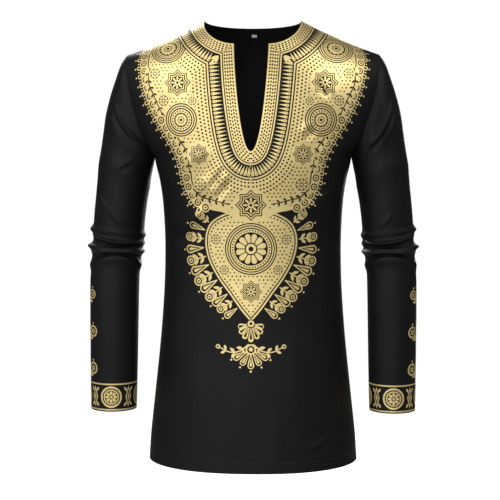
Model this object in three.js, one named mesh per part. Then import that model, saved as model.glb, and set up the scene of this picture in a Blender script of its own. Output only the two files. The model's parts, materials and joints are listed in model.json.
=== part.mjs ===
// A collarless pullover tunic with long sleeves, a round neck and an open slit down the chest.
// It hangs as it is worn, hollow, with nobody in it. Millimetres, +Z up, the front faces -Y.
// The origin lies midway between the two high shoulder points, where the shirt is carried.
import * as THREE from "three";

// ---- Driving dimensions ----
const WALL = 1.4; // thickness of the cloth wall
const SEAM_GAP = 0.3; // clear space between two pieces at a seam
const HEM_Z = -806;

// The neckline: a quarter ellipse from the high shoulder point to the top of the slit on each side.
const NECK = {
  halfWidth: 87.5,
  cornerX: 30,
  cornerZ: -46,
  slitEndZ: -234,
  slitTaper: 1.35,
  backDrop: 9,
};

// The shoulder seam falls from the neck to the shoulder point, steeper next to the neck.
const SHOULDER = { pointX: 229.5, pointZ: -61, neckSlope: 0.53 };
const ARMPIT = { x: 180, z: -247 };

// Above the armpit the body runs on under the sleeve cap, wider by this much over this rise.
const CAP_SPREAD = { width: 76, rise: 60 };
// The chest beside the armpit is squared off between these two heights, up to this half width.
const CHEST_SQUARE = { lowZ: -400, highZ: -130, half: 250, edgePower: 6 };
const SECTION_POWER = 2.3; // 2 is an ellipse, more is squarer

// Level sections of the body: half width, and how far the front and back stand from the seams.
const BODY_SECTIONS = [
  { z: -806, half: 193.5, front: 136, back: 121 },
  { z: -756, half: 190, front: 130, back: 118 },
  { z: -697, half: 183.5, front: 124, back: 116 },
  { z: -601, half: 173, front: 114, back: 112 },
  { z: -546, half: 168, front: 110, back: 108 },
  { z: -478, half: 163.5, front: 107, back: 102 },
  { z: -417, half: 162, front: 107, back: 98 },
  { z: -369, half: 163, front: 109, back: 98 },
  { z: -325, half: 166, front: 113, back: 101 },
  { z: -290, half: 171, front: 118, back: 105 },
  { z: -247, half: 180, front: 122, back: 109 },
  { z: -150, half: 180, front: 122, back: 114 },
  { z: 30, half: 180, front: 122, back: 114 },
];

// Each side of the body leans back to the shoulder seam from this height.
const FRONT = { sign: -1, key: "front", leanZ: -200, leanPower: 2.5 };
const BACK = { sign: 1, key: "back", leanZ: -180, leanPower: 2.5 };

// Soft drag folds of the body, each from (x1, z1) to (x2, z2).
const FRONT_FOLDS = [
  { x1: -165, z1: -372, x2: -92, z2: -318, height: 3.2, width: 15 },
  { x1: -104, z1: -312, x2: -38, z2: -262, height: 3.4, width: 12 },
  { x1: -122, z1: -262, x2: -70, z2: -226, height: 2.6, width: 12 },
  { x1: 118, z1: -222, x2: 164, z2: -268, height: 3.4, width: 13 },
  { x1: 92, z1: -345, x2: 152, z2: -300, height: 2.6, width: 16 },
  { x1: 120, z1: -440, x2: 158, z2: -560, height: 2.4, width: 18 },
  { x1: -128, z1: -470, x2: -156, z2: -600, height: 2.0, width: 18 },
];
const BACK_FOLDS = [
  { x1: -150, z1: -300, x2: -60, z2: -352, height: 3.4, width: 16 },
  { x1: 146, z1: -310, x2: 62, z2: -368, height: 3.0, width: 15 },
  { x1: -140, z1: -372, x2: -30, z2: -412, height: 3.6, width: 15 },
  { x1: 138, z1: -392, x2: 24, z2: -436, height: 3.2, width: 16 },
  { x1: -96, z1: -470, x2: -112, z2: -680, height: 2.6, width: 20 },
  { x1: 88, z1: -490, x2: 108, z2: -700, height: 3.0, width: 20 },
];
const FOLD_EDGE = 40; // folds fade out over this depth next to the seams

// Sleeve sections from the armhole to the cuff: the outer and inner edge of each ring as seen from
// the front, how far it reaches to the front and back, and how far its middle lies forward.
const SLEEVE_SECTIONS = [
  { outX: 229.5, outZ: -61, inX: 180, inZ: -247, front: 52, back: 48, ahead: 0 },
  { outX: 241, outZ: -78, inX: 182.5, inZ: -258, front: 54, back: 50, ahead: 0 },
  { outX: 251.5, outZ: -106, inX: 185, inZ: -269, front: 56, back: 52, ahead: 0 },
  { outX: 262, outZ: -138, inX: 187.8, inZ: -282, front: 57, back: 54, ahead: 0 },
  { outX: 270, outZ: -174, inX: 190.5, inZ: -297, front: 58, back: 55, ahead: 0 },
  { outX: 277, outZ: -217, inX: 193.5, inZ: -316, front: 58, back: 55, ahead: 0 },
  { outX: 283.5, outZ: -262, inX: 196.5, inZ: -338, front: 57, back: 55, ahead: 0 },
  { outX: 288.5, outZ: -308, inX: 199, inZ: -358, front: 55, back: 54, ahead: 1 },
  { outX: 292.5, outZ: -348, inX: 200.5, inZ: -374, front: 53, back: 53, ahead: 2 },
  { outX: 294.5, outZ: -375, inX: 201.5, inZ: -388, front: 52, back: 52, ahead: 2 },
  { outX: 295.5, outZ: -400, inX: 203, inZ: -406, front: 50, back: 51, ahead: 3 },
  { outX: 297, outZ: -425, inX: 206, inZ: -427, front: 49, back: 50, ahead: 4 },
  { outX: 299.5, outZ: -450, inX: 209, inZ: -450, front: 48, back: 48, ahead: 5 },
  { outX: 301, outZ: -485, inX: 210.5, inZ: -485, front: 47, back: 47, ahead: 8 },
  { outX: 301, outZ: -560, inX: 212, inZ: -560, front: 45, back: 45, ahead: 12 },
  { outX: 300.5, outZ: -640, inX: 213.5, inZ: -640, front: 43, back: 43, ahead: 16 },
  { outX: 299.6, outZ: -711, inX: 215.5, inZ: -711, front: 41, back: 41, ahead: 20 },
];
const ARMHOLE_FADE = 5; // the armhole's own outline has faded into the tube after this many sections

// Where the rings of the sleeve lie, counted in rows of the table above: close at the elbow.
const SLEEVE_STEPS = [
  { from: 0, to: 8, count: 15 },
  { from: 8, to: 12, count: 24 },
  { from: 12, to: 16, count: 4 },
];

// Folds across the sleeve, soft ones on the upper arm and sharp tucks at the elbow: the height of
// each ridge where it crosses the outer edge, front, inner edge and back of the sleeve, and how far
// it stands out at each of those four places.
const SLEEVE_FOLDS = [
  { z: [-172, -214, -262, -232], height: [1.0, 3.4, 1.2, 1.6], width: 20 },
  { z: [-262, -268, -300, -282], height: [1.2, 2.6, 1.6, 2.2], width: 18 },
  { z: [-379, -383, -390, -384], height: [5.0, 1.0, 3.5, 1.0], width: 7 },
  { z: [-390, -399, -406, -400], height: [1.0, 5.0, 3.5, 1.5], width: 5.5 },
  { z: [-410, -407, -408, -409], height: [9.0, 1.0, 0.0, 1.5], width: 6 },
  { z: [-420, -413, -421, -419], height: [2.5, 4.5, 5.0, 2.0], width: 5.5 },
  { z: [-444, -431, -446, -438], height: [2.0, 2.5, 3.0, 1.5], width: 9 },
];

// The loop label lies inside the back of the neck, between two shares of the way up the topmost
// middle cell of the back.
const LABEL = { halfWidth: 6.5, bottomShare: 0.24, topShare: 0.86, thickness: 1, down: 3 };

// ---- Mesh density ----
const COLUMNS = 13; // from the middle of a panel to its side
const LOWER_ROWS = 20; // from the hem to the armpit
const ARM_STEPS = 12; // from the armpit to the shoulder point, along the front or back of the armhole

const CLOTH = { color: 0x1b1b1d, roughness: 0.62, metalness: 0 };
const LABEL_CLOTH = { color: 0x232326, roughness: 0.45, metalness: 0 };

const clamp = (value, low, high) => Math.min(high, Math.max(low, value));
const mix = (a, b, share) => a + (b - a) * share;
const smooth = (share) => share * share * (3 - 2 * share);

// Reads one column of a table at any place along it, on a smooth curve through its rows.
function column(rows, key, along) {
  const places = rows.map(along);
  const values = rows.map((row) => row[key]);
  const slopes = values.map((_, i) => {
    const a = Math.max(0, i - 1);
    const b = Math.min(values.length - 1, i + 1);
    return (values[b] - values[a]) / (places[b] - places[a]);
  });
  return (at) => {
    let i = places.findIndex((place) => place > at) - 1;
    if (i === -2) i = places.length - 2;
    i = clamp(i, 0, places.length - 2);
    const step = places[i + 1] - places[i];
    const t = clamp((at - places[i]) / step, 0, 1);
    const line = mix(values[i], values[i + 1], smooth(t));
    return (
      line +
      step * (slopes[i] * t * (1 - t) * (1 - t) - slopes[i + 1] * t * t * (1 - t))
    );
  };
}

const bodyColumn = (key) => column(BODY_SECTIONS, key, (row) => row.z);
const sideHalf = bodyColumn("half");
const depthOf = { front: bodyColumn("front"), back: bodyColumn("back") };

// ---- The body's surface ----

// Height of the shoulder seam, and of the crown that the neck hole cuts away, at a distance from the middle.
function shoulderZ(x) {
  const away = Math.abs(x);
  const { pointX, pointZ, neckSlope } = SHOULDER;
  if (away < NECK.halfWidth) {
    const crown = (neckSlope * NECK.halfWidth) / 2;
    return crown * (1 - (away / NECK.halfWidth) ** 2);
  }
  const run = pointX - NECK.halfWidth;
  const bend = (neckSlope * run + pointZ) / run ** 2;
  const past = away - NECK.halfWidth;
  return -neckSlope * past + bend * past ** 2;
}

function halfWidth(z) {
  if (z <= ARMPIT.z) return sideHalf(z);
  return ARMPIT.x + CAP_SPREAD.width * (1 - Math.exp((ARMPIT.z - z) / CAP_SPREAD.rise));
}

// The edge of a panel: the side seam up to the armpit, and the armhole above it.
function edgeX(z) {
  if (z <= ARMPIT.z) return sideHalf(z);
  const up = clamp((z - ARMPIT.z) / (SHOULDER.pointZ - ARMPIT.z), 0, 1);
  return mix(ARMPIT.x, SHOULDER.pointX, Math.sin((up * Math.PI) / 2));
}

function squaredHalf(z) {
  const { lowZ, highZ, half } = CHEST_SQUARE;
  const up = smooth(clamp((z - lowZ) / (highZ - lowZ), 0, 1));
  return mix(halfWidth(Math.min(z, lowZ)), half, up);
}

const rounded = (share, power) => Math.sqrt(Math.max(0, 1 - share ** power));

function foldOnBody(folds, x, z) {
  return folds.reduce((sum, fold) => {
    const run = new THREE.Vector2(fold.x2 - fold.x1, fold.z2 - fold.z1);
    const from = new THREE.Vector2(x - fold.x1, z - fold.z1);
    const along = from.dot(run) / run.lengthSq();
    const off = Math.abs(from.cross(run)) / run.length();
    const ends = Math.exp(-(((along - 0.5) / 0.42) ** 4));
    return sum + fold.height * ends * Math.exp(-((off / fold.width) ** 2));
  }, 0);
}

// How far a side of the body stands in front of or behind the seams at (x, z).
function depth(side, x, z) {
  const away = Math.abs(x);
  const nearEdge = Math.min(1, away / edgeX(z)) ** CHEST_SQUARE.edgePower;
  const across = mix(
    rounded(away / squaredHalf(z), SECTION_POWER),
    rounded(Math.min(1, away / halfWidth(z)), SECTION_POWER),
    nearEdge,
  );
  const leanRun = shoulderZ(x) - side.leanZ;
  const lean = rounded(clamp((z - side.leanZ) / leanRun, 0, 1), side.leanPower);
  const plain = depthOf[side.key](z) * across * lean;
  const folds = side.key === "front" ? FRONT_FOLDS : BACK_FOLDS;
  return plain + foldOnBody(folds, x, z) * smooth(Math.min(1, plain / FOLD_EDGE));
}

const bodyPoint = (side, x, z) =>
  new THREE.Vector3(x, side.sign * (depth(side, x, z) + SEAM_GAP / 2), z);

// ---- Rows of a panel, from the hem to the shoulder seam ----

// Each row runs from its inner end, on the middle or the neckline, to its outer end on the side.
const armStepZ = (step) => {
  const middle = (SHOULDER.pointZ + ARMPIT.z) / 2;
  const half = (SHOULDER.pointZ - ARMPIT.z) / 2;
  return middle - half * Math.cos((Math.PI * step) / ARM_STEPS);
};

function slitHalf(z) {
  const down = (z - NECK.cornerZ) / (NECK.slitEndZ - NECK.cornerZ);
  return NECK.cornerX * rounded(clamp(down, 0, 1), NECK.slitTaper);
}

// Inner ends at the armpit's level and above: heights down the middle, then angles round the neckline.
const FRONT_INNER = {
  middle: [-262, NECK.slitEndZ, -213, -189, -162, -134, -105, -75, NECK.cornerZ],
  neckAngles: [64, 38, 15, 0],
  splitRow: LOWER_ROWS + 2,
};
const BACK_INNER = {
  middle: [-247, -222, -196, -168, -139, -109, -78, -44, -NECK.backDrop],
  neckAngles: [60, 36, 15, 0],
  splitRow: LOWER_ROWS + ARM_STEPS,
};

function innerEnds(side) {
  if (side.key === "front") {
    const slit = FRONT_INNER.middle.map((z) => ({ x: z < NECK.slitEndZ ? 0 : slitHalf(z), z }));
    const neck = FRONT_INNER.neckAngles.map((degrees) => {
      const angle = THREE.MathUtils.degToRad(degrees);
      return {
        x: mix(NECK.cornerX, NECK.halfWidth, Math.cos(angle)),
        z: NECK.cornerZ * Math.sin(angle),
      };
    });
    return [...slit, ...neck];
  }
  const middle = BACK_INNER.middle.map((z) => ({ x: 0, z }));
  const neck = BACK_INNER.neckAngles.map((degrees) => {
    const angle = THREE.MathUtils.degToRad(degrees);
    return { x: NECK.halfWidth * Math.cos(angle), z: -NECK.backDrop * Math.sin(angle) };
  });
  return [...middle, ...neck];
}

function panelRows(side) {
  const inner = innerEnds(side);
  const rows = [];
  for (let i = 0; i < LOWER_ROWS; i++) {
    const up = i / LOWER_ROWS;
    rows.push({ inX: 0, inZ: mix(HEM_Z, inner[0].z, up), outZ: mix(HEM_Z, ARMPIT.z, up) });
  }
  inner.forEach(({ x, z }, step) => rows.push({ inX: x, inZ: z, outZ: armStepZ(step) }));
  return rows;
}

// The points of one row on one side of the middle, inner end first, evenly round the section.
function rowPoints(side, row, hand) {
  const outX = edgeX(row.outZ);
  const turn = Math.asin(Math.min(1, outX / halfWidth(row.outZ)));
  const fall = shoulderZ(row.inX) - shoulderZ(outX);
  return Array.from({ length: COLUMNS + 1 }, (_, c) => {
    const share = Math.sin((c / COLUMNS) * turn) / Math.sin(turn);
    const x = mix(row.inX, outX, share);
    const rise = (shoulderZ(x) - shoulderZ(outX)) / fall;
    return bodyPoint(side, hand * x, mix(row.outZ, row.inZ, rise));
  });
}

// ---- From surface points to closed cloth walls ----

// Averages the face normals round each point. The order of the faces says which way is out.
function surfaceNormals(points, faces) {
  const normals = points.map(() => new THREE.Vector3());
  faces.forEach((face) => {
    const [a, b, c] = face.map((i) => points[i]);
    const normal = b.clone().sub(a).cross(c.clone().sub(a));
    face.forEach((i) => normals[i].add(normal));
  });
  return normals.map((normal) => normal.normalize());
}

// A closed wall: the outer faces, the inner faces turned round, and a rim along each open edge.
function wallGeometry(outer, inner, faces) {
  const count = outer.length;
  const open = new Map();
  faces.forEach((face) =>
    face.forEach((a, i) => {
      const b = face[(i + 1) % face.length];
      if (!open.delete(`${b},${a}`)) open.set(`${a},${b}`, [a, b]);
    }),
  );
  const rims = [...open.values()].flatMap(([a, b]) => [
    [b, a, a + count],
    [b, a + count, b + count],
  ]);
  const turned = faces.map(([a, b, c]) => [c + count, b + count, a + count]);
  const geometry = new THREE.BufferGeometry().setFromPoints([...outer, ...inner]);
  geometry.setIndex([...faces, ...turned, ...rims].flat());
  geometry.computeVertexNormals();
  return geometry;
}

function clothMesh(name, geometry, look) {
  const mesh = new THREE.Mesh(geometry, new THREE.MeshStandardMaterial(look));
  mesh.name = name;
  return mesh;
}

// Splits the cells of a grid whose corner numbers are given by at(row, col).
function gridFaces(rows, cols, at, outward) {
  const faces = [];
  for (let r = 0; r < rows; r++) {
    for (let c = 0; c < cols; c++) {
      const [a, b, d, e] = [at(r, c), at(r, c + 1), at(r + 1, c), at(r + 1, c + 1)];
      const pair = (r + c) % 2 ? [[a, b, e], [a, e, d]] : [[a, b, d], [b, e, d]];
      pair.forEach((face) => faces.push(outward ? face : face.toReversed()));
    }
  }
  return faces.filter(([a, b, c]) => a !== b && b !== c && a !== c);
}

// Outer points and faces of the front or back, both hands, sharing the middle points below the split.
function panelSurface(side) {
  const rows = panelRows(side);
  const { splitRow } = side.key === "front" ? FRONT_INNER : BACK_INNER;
  const points = [];
  const ids = { 1: [], [-1]: [] };
  [1, -1].forEach((hand) =>
    rows.forEach((row, r) => {
      ids[hand][r] = rowPoints(side, row, hand).map((point, c) => {
        const shared = hand < 0 && c === 0 && row.inX === 0 && r < splitRow;
        if (shared) return ids[1][r][0];
        points.push(point);
        return points.length - 1;
      });
    }),
  );
  const faces = [1, -1].flatMap((hand) =>
    gridFaces(rows.length - 1, COLUMNS, (r, c) => ids[hand][r][c], hand * side.sign < 0),
  );
  return { side, points, ids, faces, normals: surfaceNormals(points, faces) };
}

// ---- The sleeve's surface ----

const sleeveColumn = Object.fromEntries(
  Object.keys(SLEEVE_SECTIONS[0]).map((key) => [
    key,
    column(SLEEVE_SECTIONS, key, (row) => SLEEVE_SECTIONS.indexOf(row)),
  ]),
);

// Four values given at the outer edge, front, inner edge and back, read smoothly at any angle round.
function roundSleeve([outer, front, inner, back], angle) {
  const level = (outer + inner + front + back) / 4;
  const sway = (outer - inner) / 2;
  const pitch = (front - back) / 2;
  const pinch = (outer + inner - front - back) / 4;
  return (
    level + sway * Math.cos(angle) + pitch * Math.sin(angle) + pinch * Math.cos(2 * angle)
  );
}

function foldOnSleeve(angle, z) {
  return SLEEVE_FOLDS.reduce((sum, fold) => {
    const off = (z - roundSleeve(fold.z, angle)) / fold.width;
    return sum + Math.max(0, roundSleeve(fold.height, angle)) * Math.exp(-off * off);
  }, 0);
}

// A point of the tube at a place along the table and an angle from the outer edge towards the front.
function tubePoint(place, angle) {
  const at = Object.fromEntries(
    Object.entries(sleeveColumn).map(([key, read]) => [key, read(place)]),
  );
  const share = Math.cos(angle);
  const x = (at.outX + at.inX) / 2 + (share * (at.outX - at.inX)) / 2;
  const z = (at.outZ + at.inZ) / 2 + (share * (at.outZ - at.inZ)) / 2;
  const reach = Math.sin(angle) > 0 ? at.front : at.back;
  const point = new THREE.Vector3(x, -at.ahead - reach * Math.sin(angle), z);
  const middle = new THREE.Vector3((at.outX + at.inX) / 2, -at.ahead, (at.outZ + at.inZ) / 2);
  const outward = point.clone().sub(middle).normalize();
  return point.addScaledVector(outward, foldOnSleeve(angle, z));
}

// Places of the rings, with 0 for the armhole and the last row for the cuff.
const ringPlaces = [
  0,
  ...SLEEVE_STEPS.flatMap(({ from, to, count }) =>
    Array.from({ length: count }, (_, i) => mix(from, to, (i + 1) / count)),
  ),
];

// The armhole ring starts at the shoulder point, runs down the front and comes up the back.
const RING = 2 * ARM_STEPS;
const ringAngle = (j) => (2 * Math.PI * j) / RING;

function sleeveSurface(armhole) {
  const points = ringPlaces.flatMap((place) => {
    const own = 1 - smooth(clamp(place / ARMHOLE_FADE, 0, 1));
    return armhole.map((edge, j) => {
      const stray = edge.clone().sub(tubePoint(0, ringAngle(j)));
      return tubePoint(place, ringAngle(j)).addScaledVector(stray, own);
    });
  });
  const at = (r, j) => r * RING + (j % RING);
  const faces = gridFaces(ringPlaces.length - 1, RING, at, true);
  return { points, faces, normals: surfaceNormals(points, faces) };
}

// ---- Joining the sleeve to the body ----

// Where ring point j lies on the front and back panels. The shoulder point and armpit lie on both.
function armholeCorners(front, back, j) {
  const row = LOWER_ROWS + (j <= ARM_STEPS ? ARM_STEPS - j : j - ARM_STEPS);
  const on = [];
  if (j <= ARM_STEPS) on.push({ panel: front, id: front.ids[1][row][COLUMNS] });
  if (j >= ARM_STEPS || j === 0) on.push({ panel: back, id: back.ids[1][row][COLUMNS] });
  return on;
}

// The two edges face each other across the seam on a shared mitre, half the gap to each side of it.
function joinArmhole(front, back) {
  const corners = Array.from({ length: RING }, (_, j) => armholeCorners(front, back, j));
  const edge = corners.map((on) => {
    const middle = new THREE.Vector3();
    on.forEach(({ panel, id }) => middle.add(panel.points[id]));
    middle.divideScalar(on.length);
    if (on.length > 1) middle.y = 0;
    return middle;
  });
  const sleeve = sleeveSurface(edge);
  const mitres = edge.map((point, j) => {
    const mitre = sleeve.normals[j].clone();
    corners[j].forEach(({ panel, id }) =>
      mitre.addScaledVector(panel.normals[id], 1 / corners[j].length),
    );
    if (corners[j].length > 1) mitre.y = 0;
    mitre.normalize();
    const run = edge[(j + 1) % RING].clone().sub(edge[(j + RING - 1) % RING]);
    const apart = run.cross(mitre).normalize();
    const towards = sleeve.points[RING + j].clone().sub(point);
    if (apart.dot(towards) < 0) apart.negate();
    return { mitre, apart };
  });
  mitres.forEach(({ mitre, apart }, j) => {
    sleeve.points[j].addScaledVector(apart, SEAM_GAP / 2);
    sleeve.normals[j].copy(mitre);
    corners[j].forEach(({ panel, id }) => {
      [1, -1].forEach((hand) => {
        const row = panel.ids[1].findIndex((cells) => cells[COLUMNS] === id);
        const twin = panel.ids[hand][row][COLUMNS];
        const flip = new THREE.Vector3(hand, 1, 1);
        panel.points[twin].addScaledVector(apart.clone().multiply(flip), -SEAM_GAP / 2);
        panel.normals[twin].copy(mitre).multiply(flip);
      });
    });
  });
  return sleeve;
}

// Front and back stay on their own sides of the plane through the side and shoulder seams.
function keepSide({ side, points }, moved) {
  return moved.map((point, i) => {
    const least = Math.min(SEAM_GAP / 2, Math.abs(points[i].y));
    point.y = side.sign * Math.max(side.sign * point.y, least);
    return point;
  });
}

const inwards = ({ points, normals }, by) =>
  points.map((point, i) => point.clone().addScaledVector(normals[i], -by));

function panelMesh(name, panel) {
  panel.points = keepSide(panel, panel.points);
  const inner = keepSide(panel, inwards(panel, WALL));
  return clothMesh(name, wallGeometry(panel.points, inner, panel.faces), CLOTH);
}

function sleeveMesh(name, sleeve, hand) {
  const flip = new THREE.Vector3(hand, 1, 1);
  const turn = (points) => points.map((point) => point.clone().multiply(flip));
  const faces = hand > 0 ? sleeve.faces : sleeve.faces.map((face) => face.toReversed());
  const geometry = wallGeometry(turn(sleeve.points), turn(inwards(sleeve, WALL)), faces);
  return clothMesh(name, geometry, CLOTH);
}

// The label lies on the two topmost middle cells of the back, one on each hand, moved in by the
// wall and the seam gap. Its points are read from the flat faces of those cells.
function labelMesh(name, panel) {
  const { halfWidth: half, topShare, bottomShare, thickness, down } = LABEL;
  const r = LOWER_ROWS + BACK_INNER.middle.length - 2;
  const points = [];
  for (let i = 0; i <= down; i++) {
    const up = mix(bottomShare, topShare, i / down);
    [-1, 0, 1].forEach((hand) => {
      const ids = panel.ids[hand || 1];
      const [low, lowSide] = [ids[r][0], ids[r][1]].map((id) => panel.points[id]);
      const [high, highSide] = [ids[r + 1][0], ids[r + 1][1]].map((id) => panel.points[id]);
      const across = hand === 0 ? 0 : half / Math.abs(lowSide.x);
      const level = low.clone().lerp(high, up);
      const slope =
        across + up < 1 ? lowSide.clone().sub(low) : highSide.clone().sub(high);
      points.push(level.addScaledVector(slope, across));
    });
  }
  const faces = gridFaces(down, 2, (row, c) => row * 3 + c, false);
  const normals = surfaceNormals(points, faces);
  const near = WALL + SEAM_GAP;
  const outer = inwards({ points, normals }, near);
  const inner = inwards({ points, normals }, near + thickness);
  return clothMesh(name, wallGeometry(outer, inner, faces), LABEL_CLOTH);
}

const front = panelSurface(FRONT);
const back = panelSurface(BACK);
const sleeve = joinArmhole(front, back);

const tunic = new THREE.Group();
tunic.add(panelMesh("front", front));
tunic.add(panelMesh("back", back));
tunic.add(sleeveMesh("sleeve_left", sleeve, 1));
tunic.add(sleeveMesh("sleeve_right", sleeve, -1));
tunic.add(labelMesh("neck_label", back));

export default tunic;
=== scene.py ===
"""A long pullover tunic in black sateen with a gold foil print, hollow and hanging as it is worn.

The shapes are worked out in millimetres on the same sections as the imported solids, in the row frame
(+Z up, the front faces -Y), and become metres when a mesh is made.
"""

import functools
import json
import math
from collections import namedtuple

import bpy
import numpy as np
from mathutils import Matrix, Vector
from mathutils.geometry import delaunay_2d_cdt

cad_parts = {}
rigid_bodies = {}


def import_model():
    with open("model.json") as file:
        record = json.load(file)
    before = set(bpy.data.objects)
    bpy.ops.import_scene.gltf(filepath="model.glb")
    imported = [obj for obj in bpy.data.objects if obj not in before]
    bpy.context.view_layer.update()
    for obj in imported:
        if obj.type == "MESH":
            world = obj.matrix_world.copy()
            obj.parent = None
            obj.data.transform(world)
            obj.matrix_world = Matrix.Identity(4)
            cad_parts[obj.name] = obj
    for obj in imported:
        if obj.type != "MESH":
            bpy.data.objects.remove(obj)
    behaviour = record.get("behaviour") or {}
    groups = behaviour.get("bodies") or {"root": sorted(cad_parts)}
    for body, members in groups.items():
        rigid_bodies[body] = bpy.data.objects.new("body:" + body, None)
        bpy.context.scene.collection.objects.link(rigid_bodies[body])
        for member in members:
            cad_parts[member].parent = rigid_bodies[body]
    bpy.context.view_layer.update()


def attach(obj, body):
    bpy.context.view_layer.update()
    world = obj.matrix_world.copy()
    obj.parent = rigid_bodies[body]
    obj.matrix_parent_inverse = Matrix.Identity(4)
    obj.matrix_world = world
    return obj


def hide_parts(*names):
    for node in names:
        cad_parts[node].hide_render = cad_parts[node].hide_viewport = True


bl_info = {
    "name": "Long Tunic",
    "version": (1, 0, 0),
    "blender": (4, 5, 0),
    "location": "View3D > Sidebar > Tunic",
    "description": "Makes a pullover tunic with a foil print, its stitching, a studio and a camera",
    "category": "Add Mesh",
}

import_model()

MM = 0.001
BODY = "root"

# ---- Sizes of the cut, in millimetres ----
NECK_HALF = 87.5  # from the middle to a high shoulder point
SLIT_CORNER = (30.0, -46.0)  # where the slit's edge turns into the neckline
SLIT_END = -234.0
SLIT_TAPER = 1.35  # power of the slit's outline: 1 is a parabola, and more is rounder at its end
BACK_NECK_DROP = 9.0
SHOULDER_POINT = (229.5, -61.0)
SHOULDER_SLOPE = 0.53  # of the shoulder seam next to the neck
ARMPIT = (180.0, -247.0)
HEM = -806.0
CUFF = -711.0

CAP_SPREAD = (76.0, 60.0)  # the body widens under the sleeve cap: how much, and over what rise
CHEST_LOW, CHEST_HIGH = -400.0, -130.0  # between these heights the front and back grow flatter
CHEST_HALF = 250.0  # half width of the flat section, of which the panel takes the middle
CHEST_POWER = 6.0  # how close to the edge it turns back to the body's own section
SECTION_POWER = 2.3  # roundness of the level sections: 2 is an ellipse
LEAN_POWER = 2.5  # roundness of the lean back to the shoulder seam
SEAM_GAP = 0.03  # the sewn edges all but touch, so that no light passes between them
HEM_STITCH = 19.0  # height of the hem's stitches above its edge
CUFF_STITCH = 14.0
STITCH_DIP = 0.18  # how far the stitches draw the cloth in, and how far from them that reaches
STITCH_DIP_REACH = 1.6
FOLD_EDGE = 40.0  # folds fade out over this depth next to the seams
FOLD_REACH = 0.42  # where a fold dies away, from its middle, as a share of its length

# Level sections of the body: half its width, and its reach to the front and the back.
BodySection = namedtuple("BodySection", "z half front back")
BODY_SECTIONS = [
    BodySection(-806, 193.5, 136, 121),
    BodySection(-756, 190, 130, 118),
    BodySection(-697, 183.5, 124, 116),
    BodySection(-601, 173, 114, 112),
    BodySection(-546, 168, 110, 108),
    BodySection(-478, 163.5, 107, 102),
    BodySection(-417, 162, 107, 98),
    BodySection(-369, 163, 109, 98),
    BodySection(-325, 166, 113, 101),
    BodySection(-290, 171, 118, 105),
    BodySection(-247, 180, 122, 109),
    BodySection(-150, 180, 122, 114),
    BodySection(30, 180, 122, 114),
]

# Drag folds, each from (x1, z1) to (x2, z2). A negative height is a trough.
Fold = namedtuple("Fold", "x1 z1 x2 z2 height width")
FRONT_FOLDS = [
    Fold(-165, -372, -92, -318, 2.4, 15),
    Fold(-104, -312, -38, -262, 3.4, 12),
    Fold(-122, -262, -70, -226, 2.6, 12),
    Fold(118, -222, 164, -268, 3.4, 13),
    Fold(92, -345, 152, -300, 3.4, 13),
    Fold(120, -440, 158, -560, 2.4, 18),
    Fold(-128, -470, -156, -600, 2.0, 18),
    Fold(-140, -387, -80, -333, 6.0, 8),
    Fold(-126, -400, -74, -353, -3.0, 8),
    Fold(-46, -263, -74, -302, -4.2, 5.5),
    Fold(-35, -285, -62, -321, -3.8, 5),
    Fold(-40, -274, -68, -311, 3.0, 6),
    Fold(116, -112, 137, -142, -3.6, 5.5),
    Fold(124, -106, 146, -138, 2.8, 7),
    Fold(114, -196, 94, -214, -3.6, 5.5),
    Fold(106, -182, 88, -204, 2.8, 7),
    Fold(104, -768, 150, -742, 3.0, 5.5),
    Fold(110, -777, 146, -757, -2.4, 5.5),
    Fold(150, -286, 96, -330, -2.2, 8),
    Fold(-150, -318, -108, -290, -2.2, 8),
    Fold(66, -560, 84, -700, 1.8, 20),
    Fold(-92, -600, -104, -760, 2.2, 22),
    Fold(-20, -640, -34, -790, 1.6, 22),
    Fold(40, -690, 52, -800, 1.5, 18),
]
BACK_FOLDS = [
    Fold(-150, -300, -60, -352, 4.9, 16),
    Fold(146, -310, 62, -368, 4.3, 15),
    Fold(-140, -372, -30, -412, 5.2, 15),
    Fold(138, -392, 24, -436, 4.6, 16),
    Fold(-96, -470, -112, -680, 3.8, 20),
    Fold(88, -490, 108, -700, 4.3, 20),
    Fold(-30, -70, -84, -150, 2.3, 14),
    Fold(36, -76, 92, -162, 2.6, 13),
    Fold(150, -150, 112, -226, -2.9, 12),
    Fold(-152, -160, -118, -240, -2.6, 13),
    Fold(-128, -330, -64, -372, -2.6, 9),
    Fold(122, -338, 48, -388, -2.6, 9),
    Fold(-20, -400, 96, -412, 2.8, 12),
    Fold(-12, -520, -20, -760, 2.9, 26),
    Fold(150, -560, 158, -760, 2.6, 16),
    Fold(-150, -600, -158, -780, 2.3, 15),
]

# One side of the body: lean_z is where it starts to lean back to the shoulder seam. The inner ends of
# the rows above the armpit are heights up the middle and the slit, then angles round the neck.
Side = namedtuple("Side", "name sign lean_z folds middle neck_angles")
FRONT = Side(
    "front", -1, -200.0, FRONT_FOLDS,
    (-262, SLIT_END, -213, -189, -162, -134, -105, -75, SLIT_CORNER[1]), (90, 64, 38, 15, 0),
)
BACK = Side(
    "back", 1, -180.0, BACK_FOLDS,
    (-247, -222, -196, -168, -139, -109, -78, -44, -BACK_NECK_DROP), (90, 60, 36, 15, 0),
)
ARM_STEPS = 12  # steps up the armhole, from one inner end to the next

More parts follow.
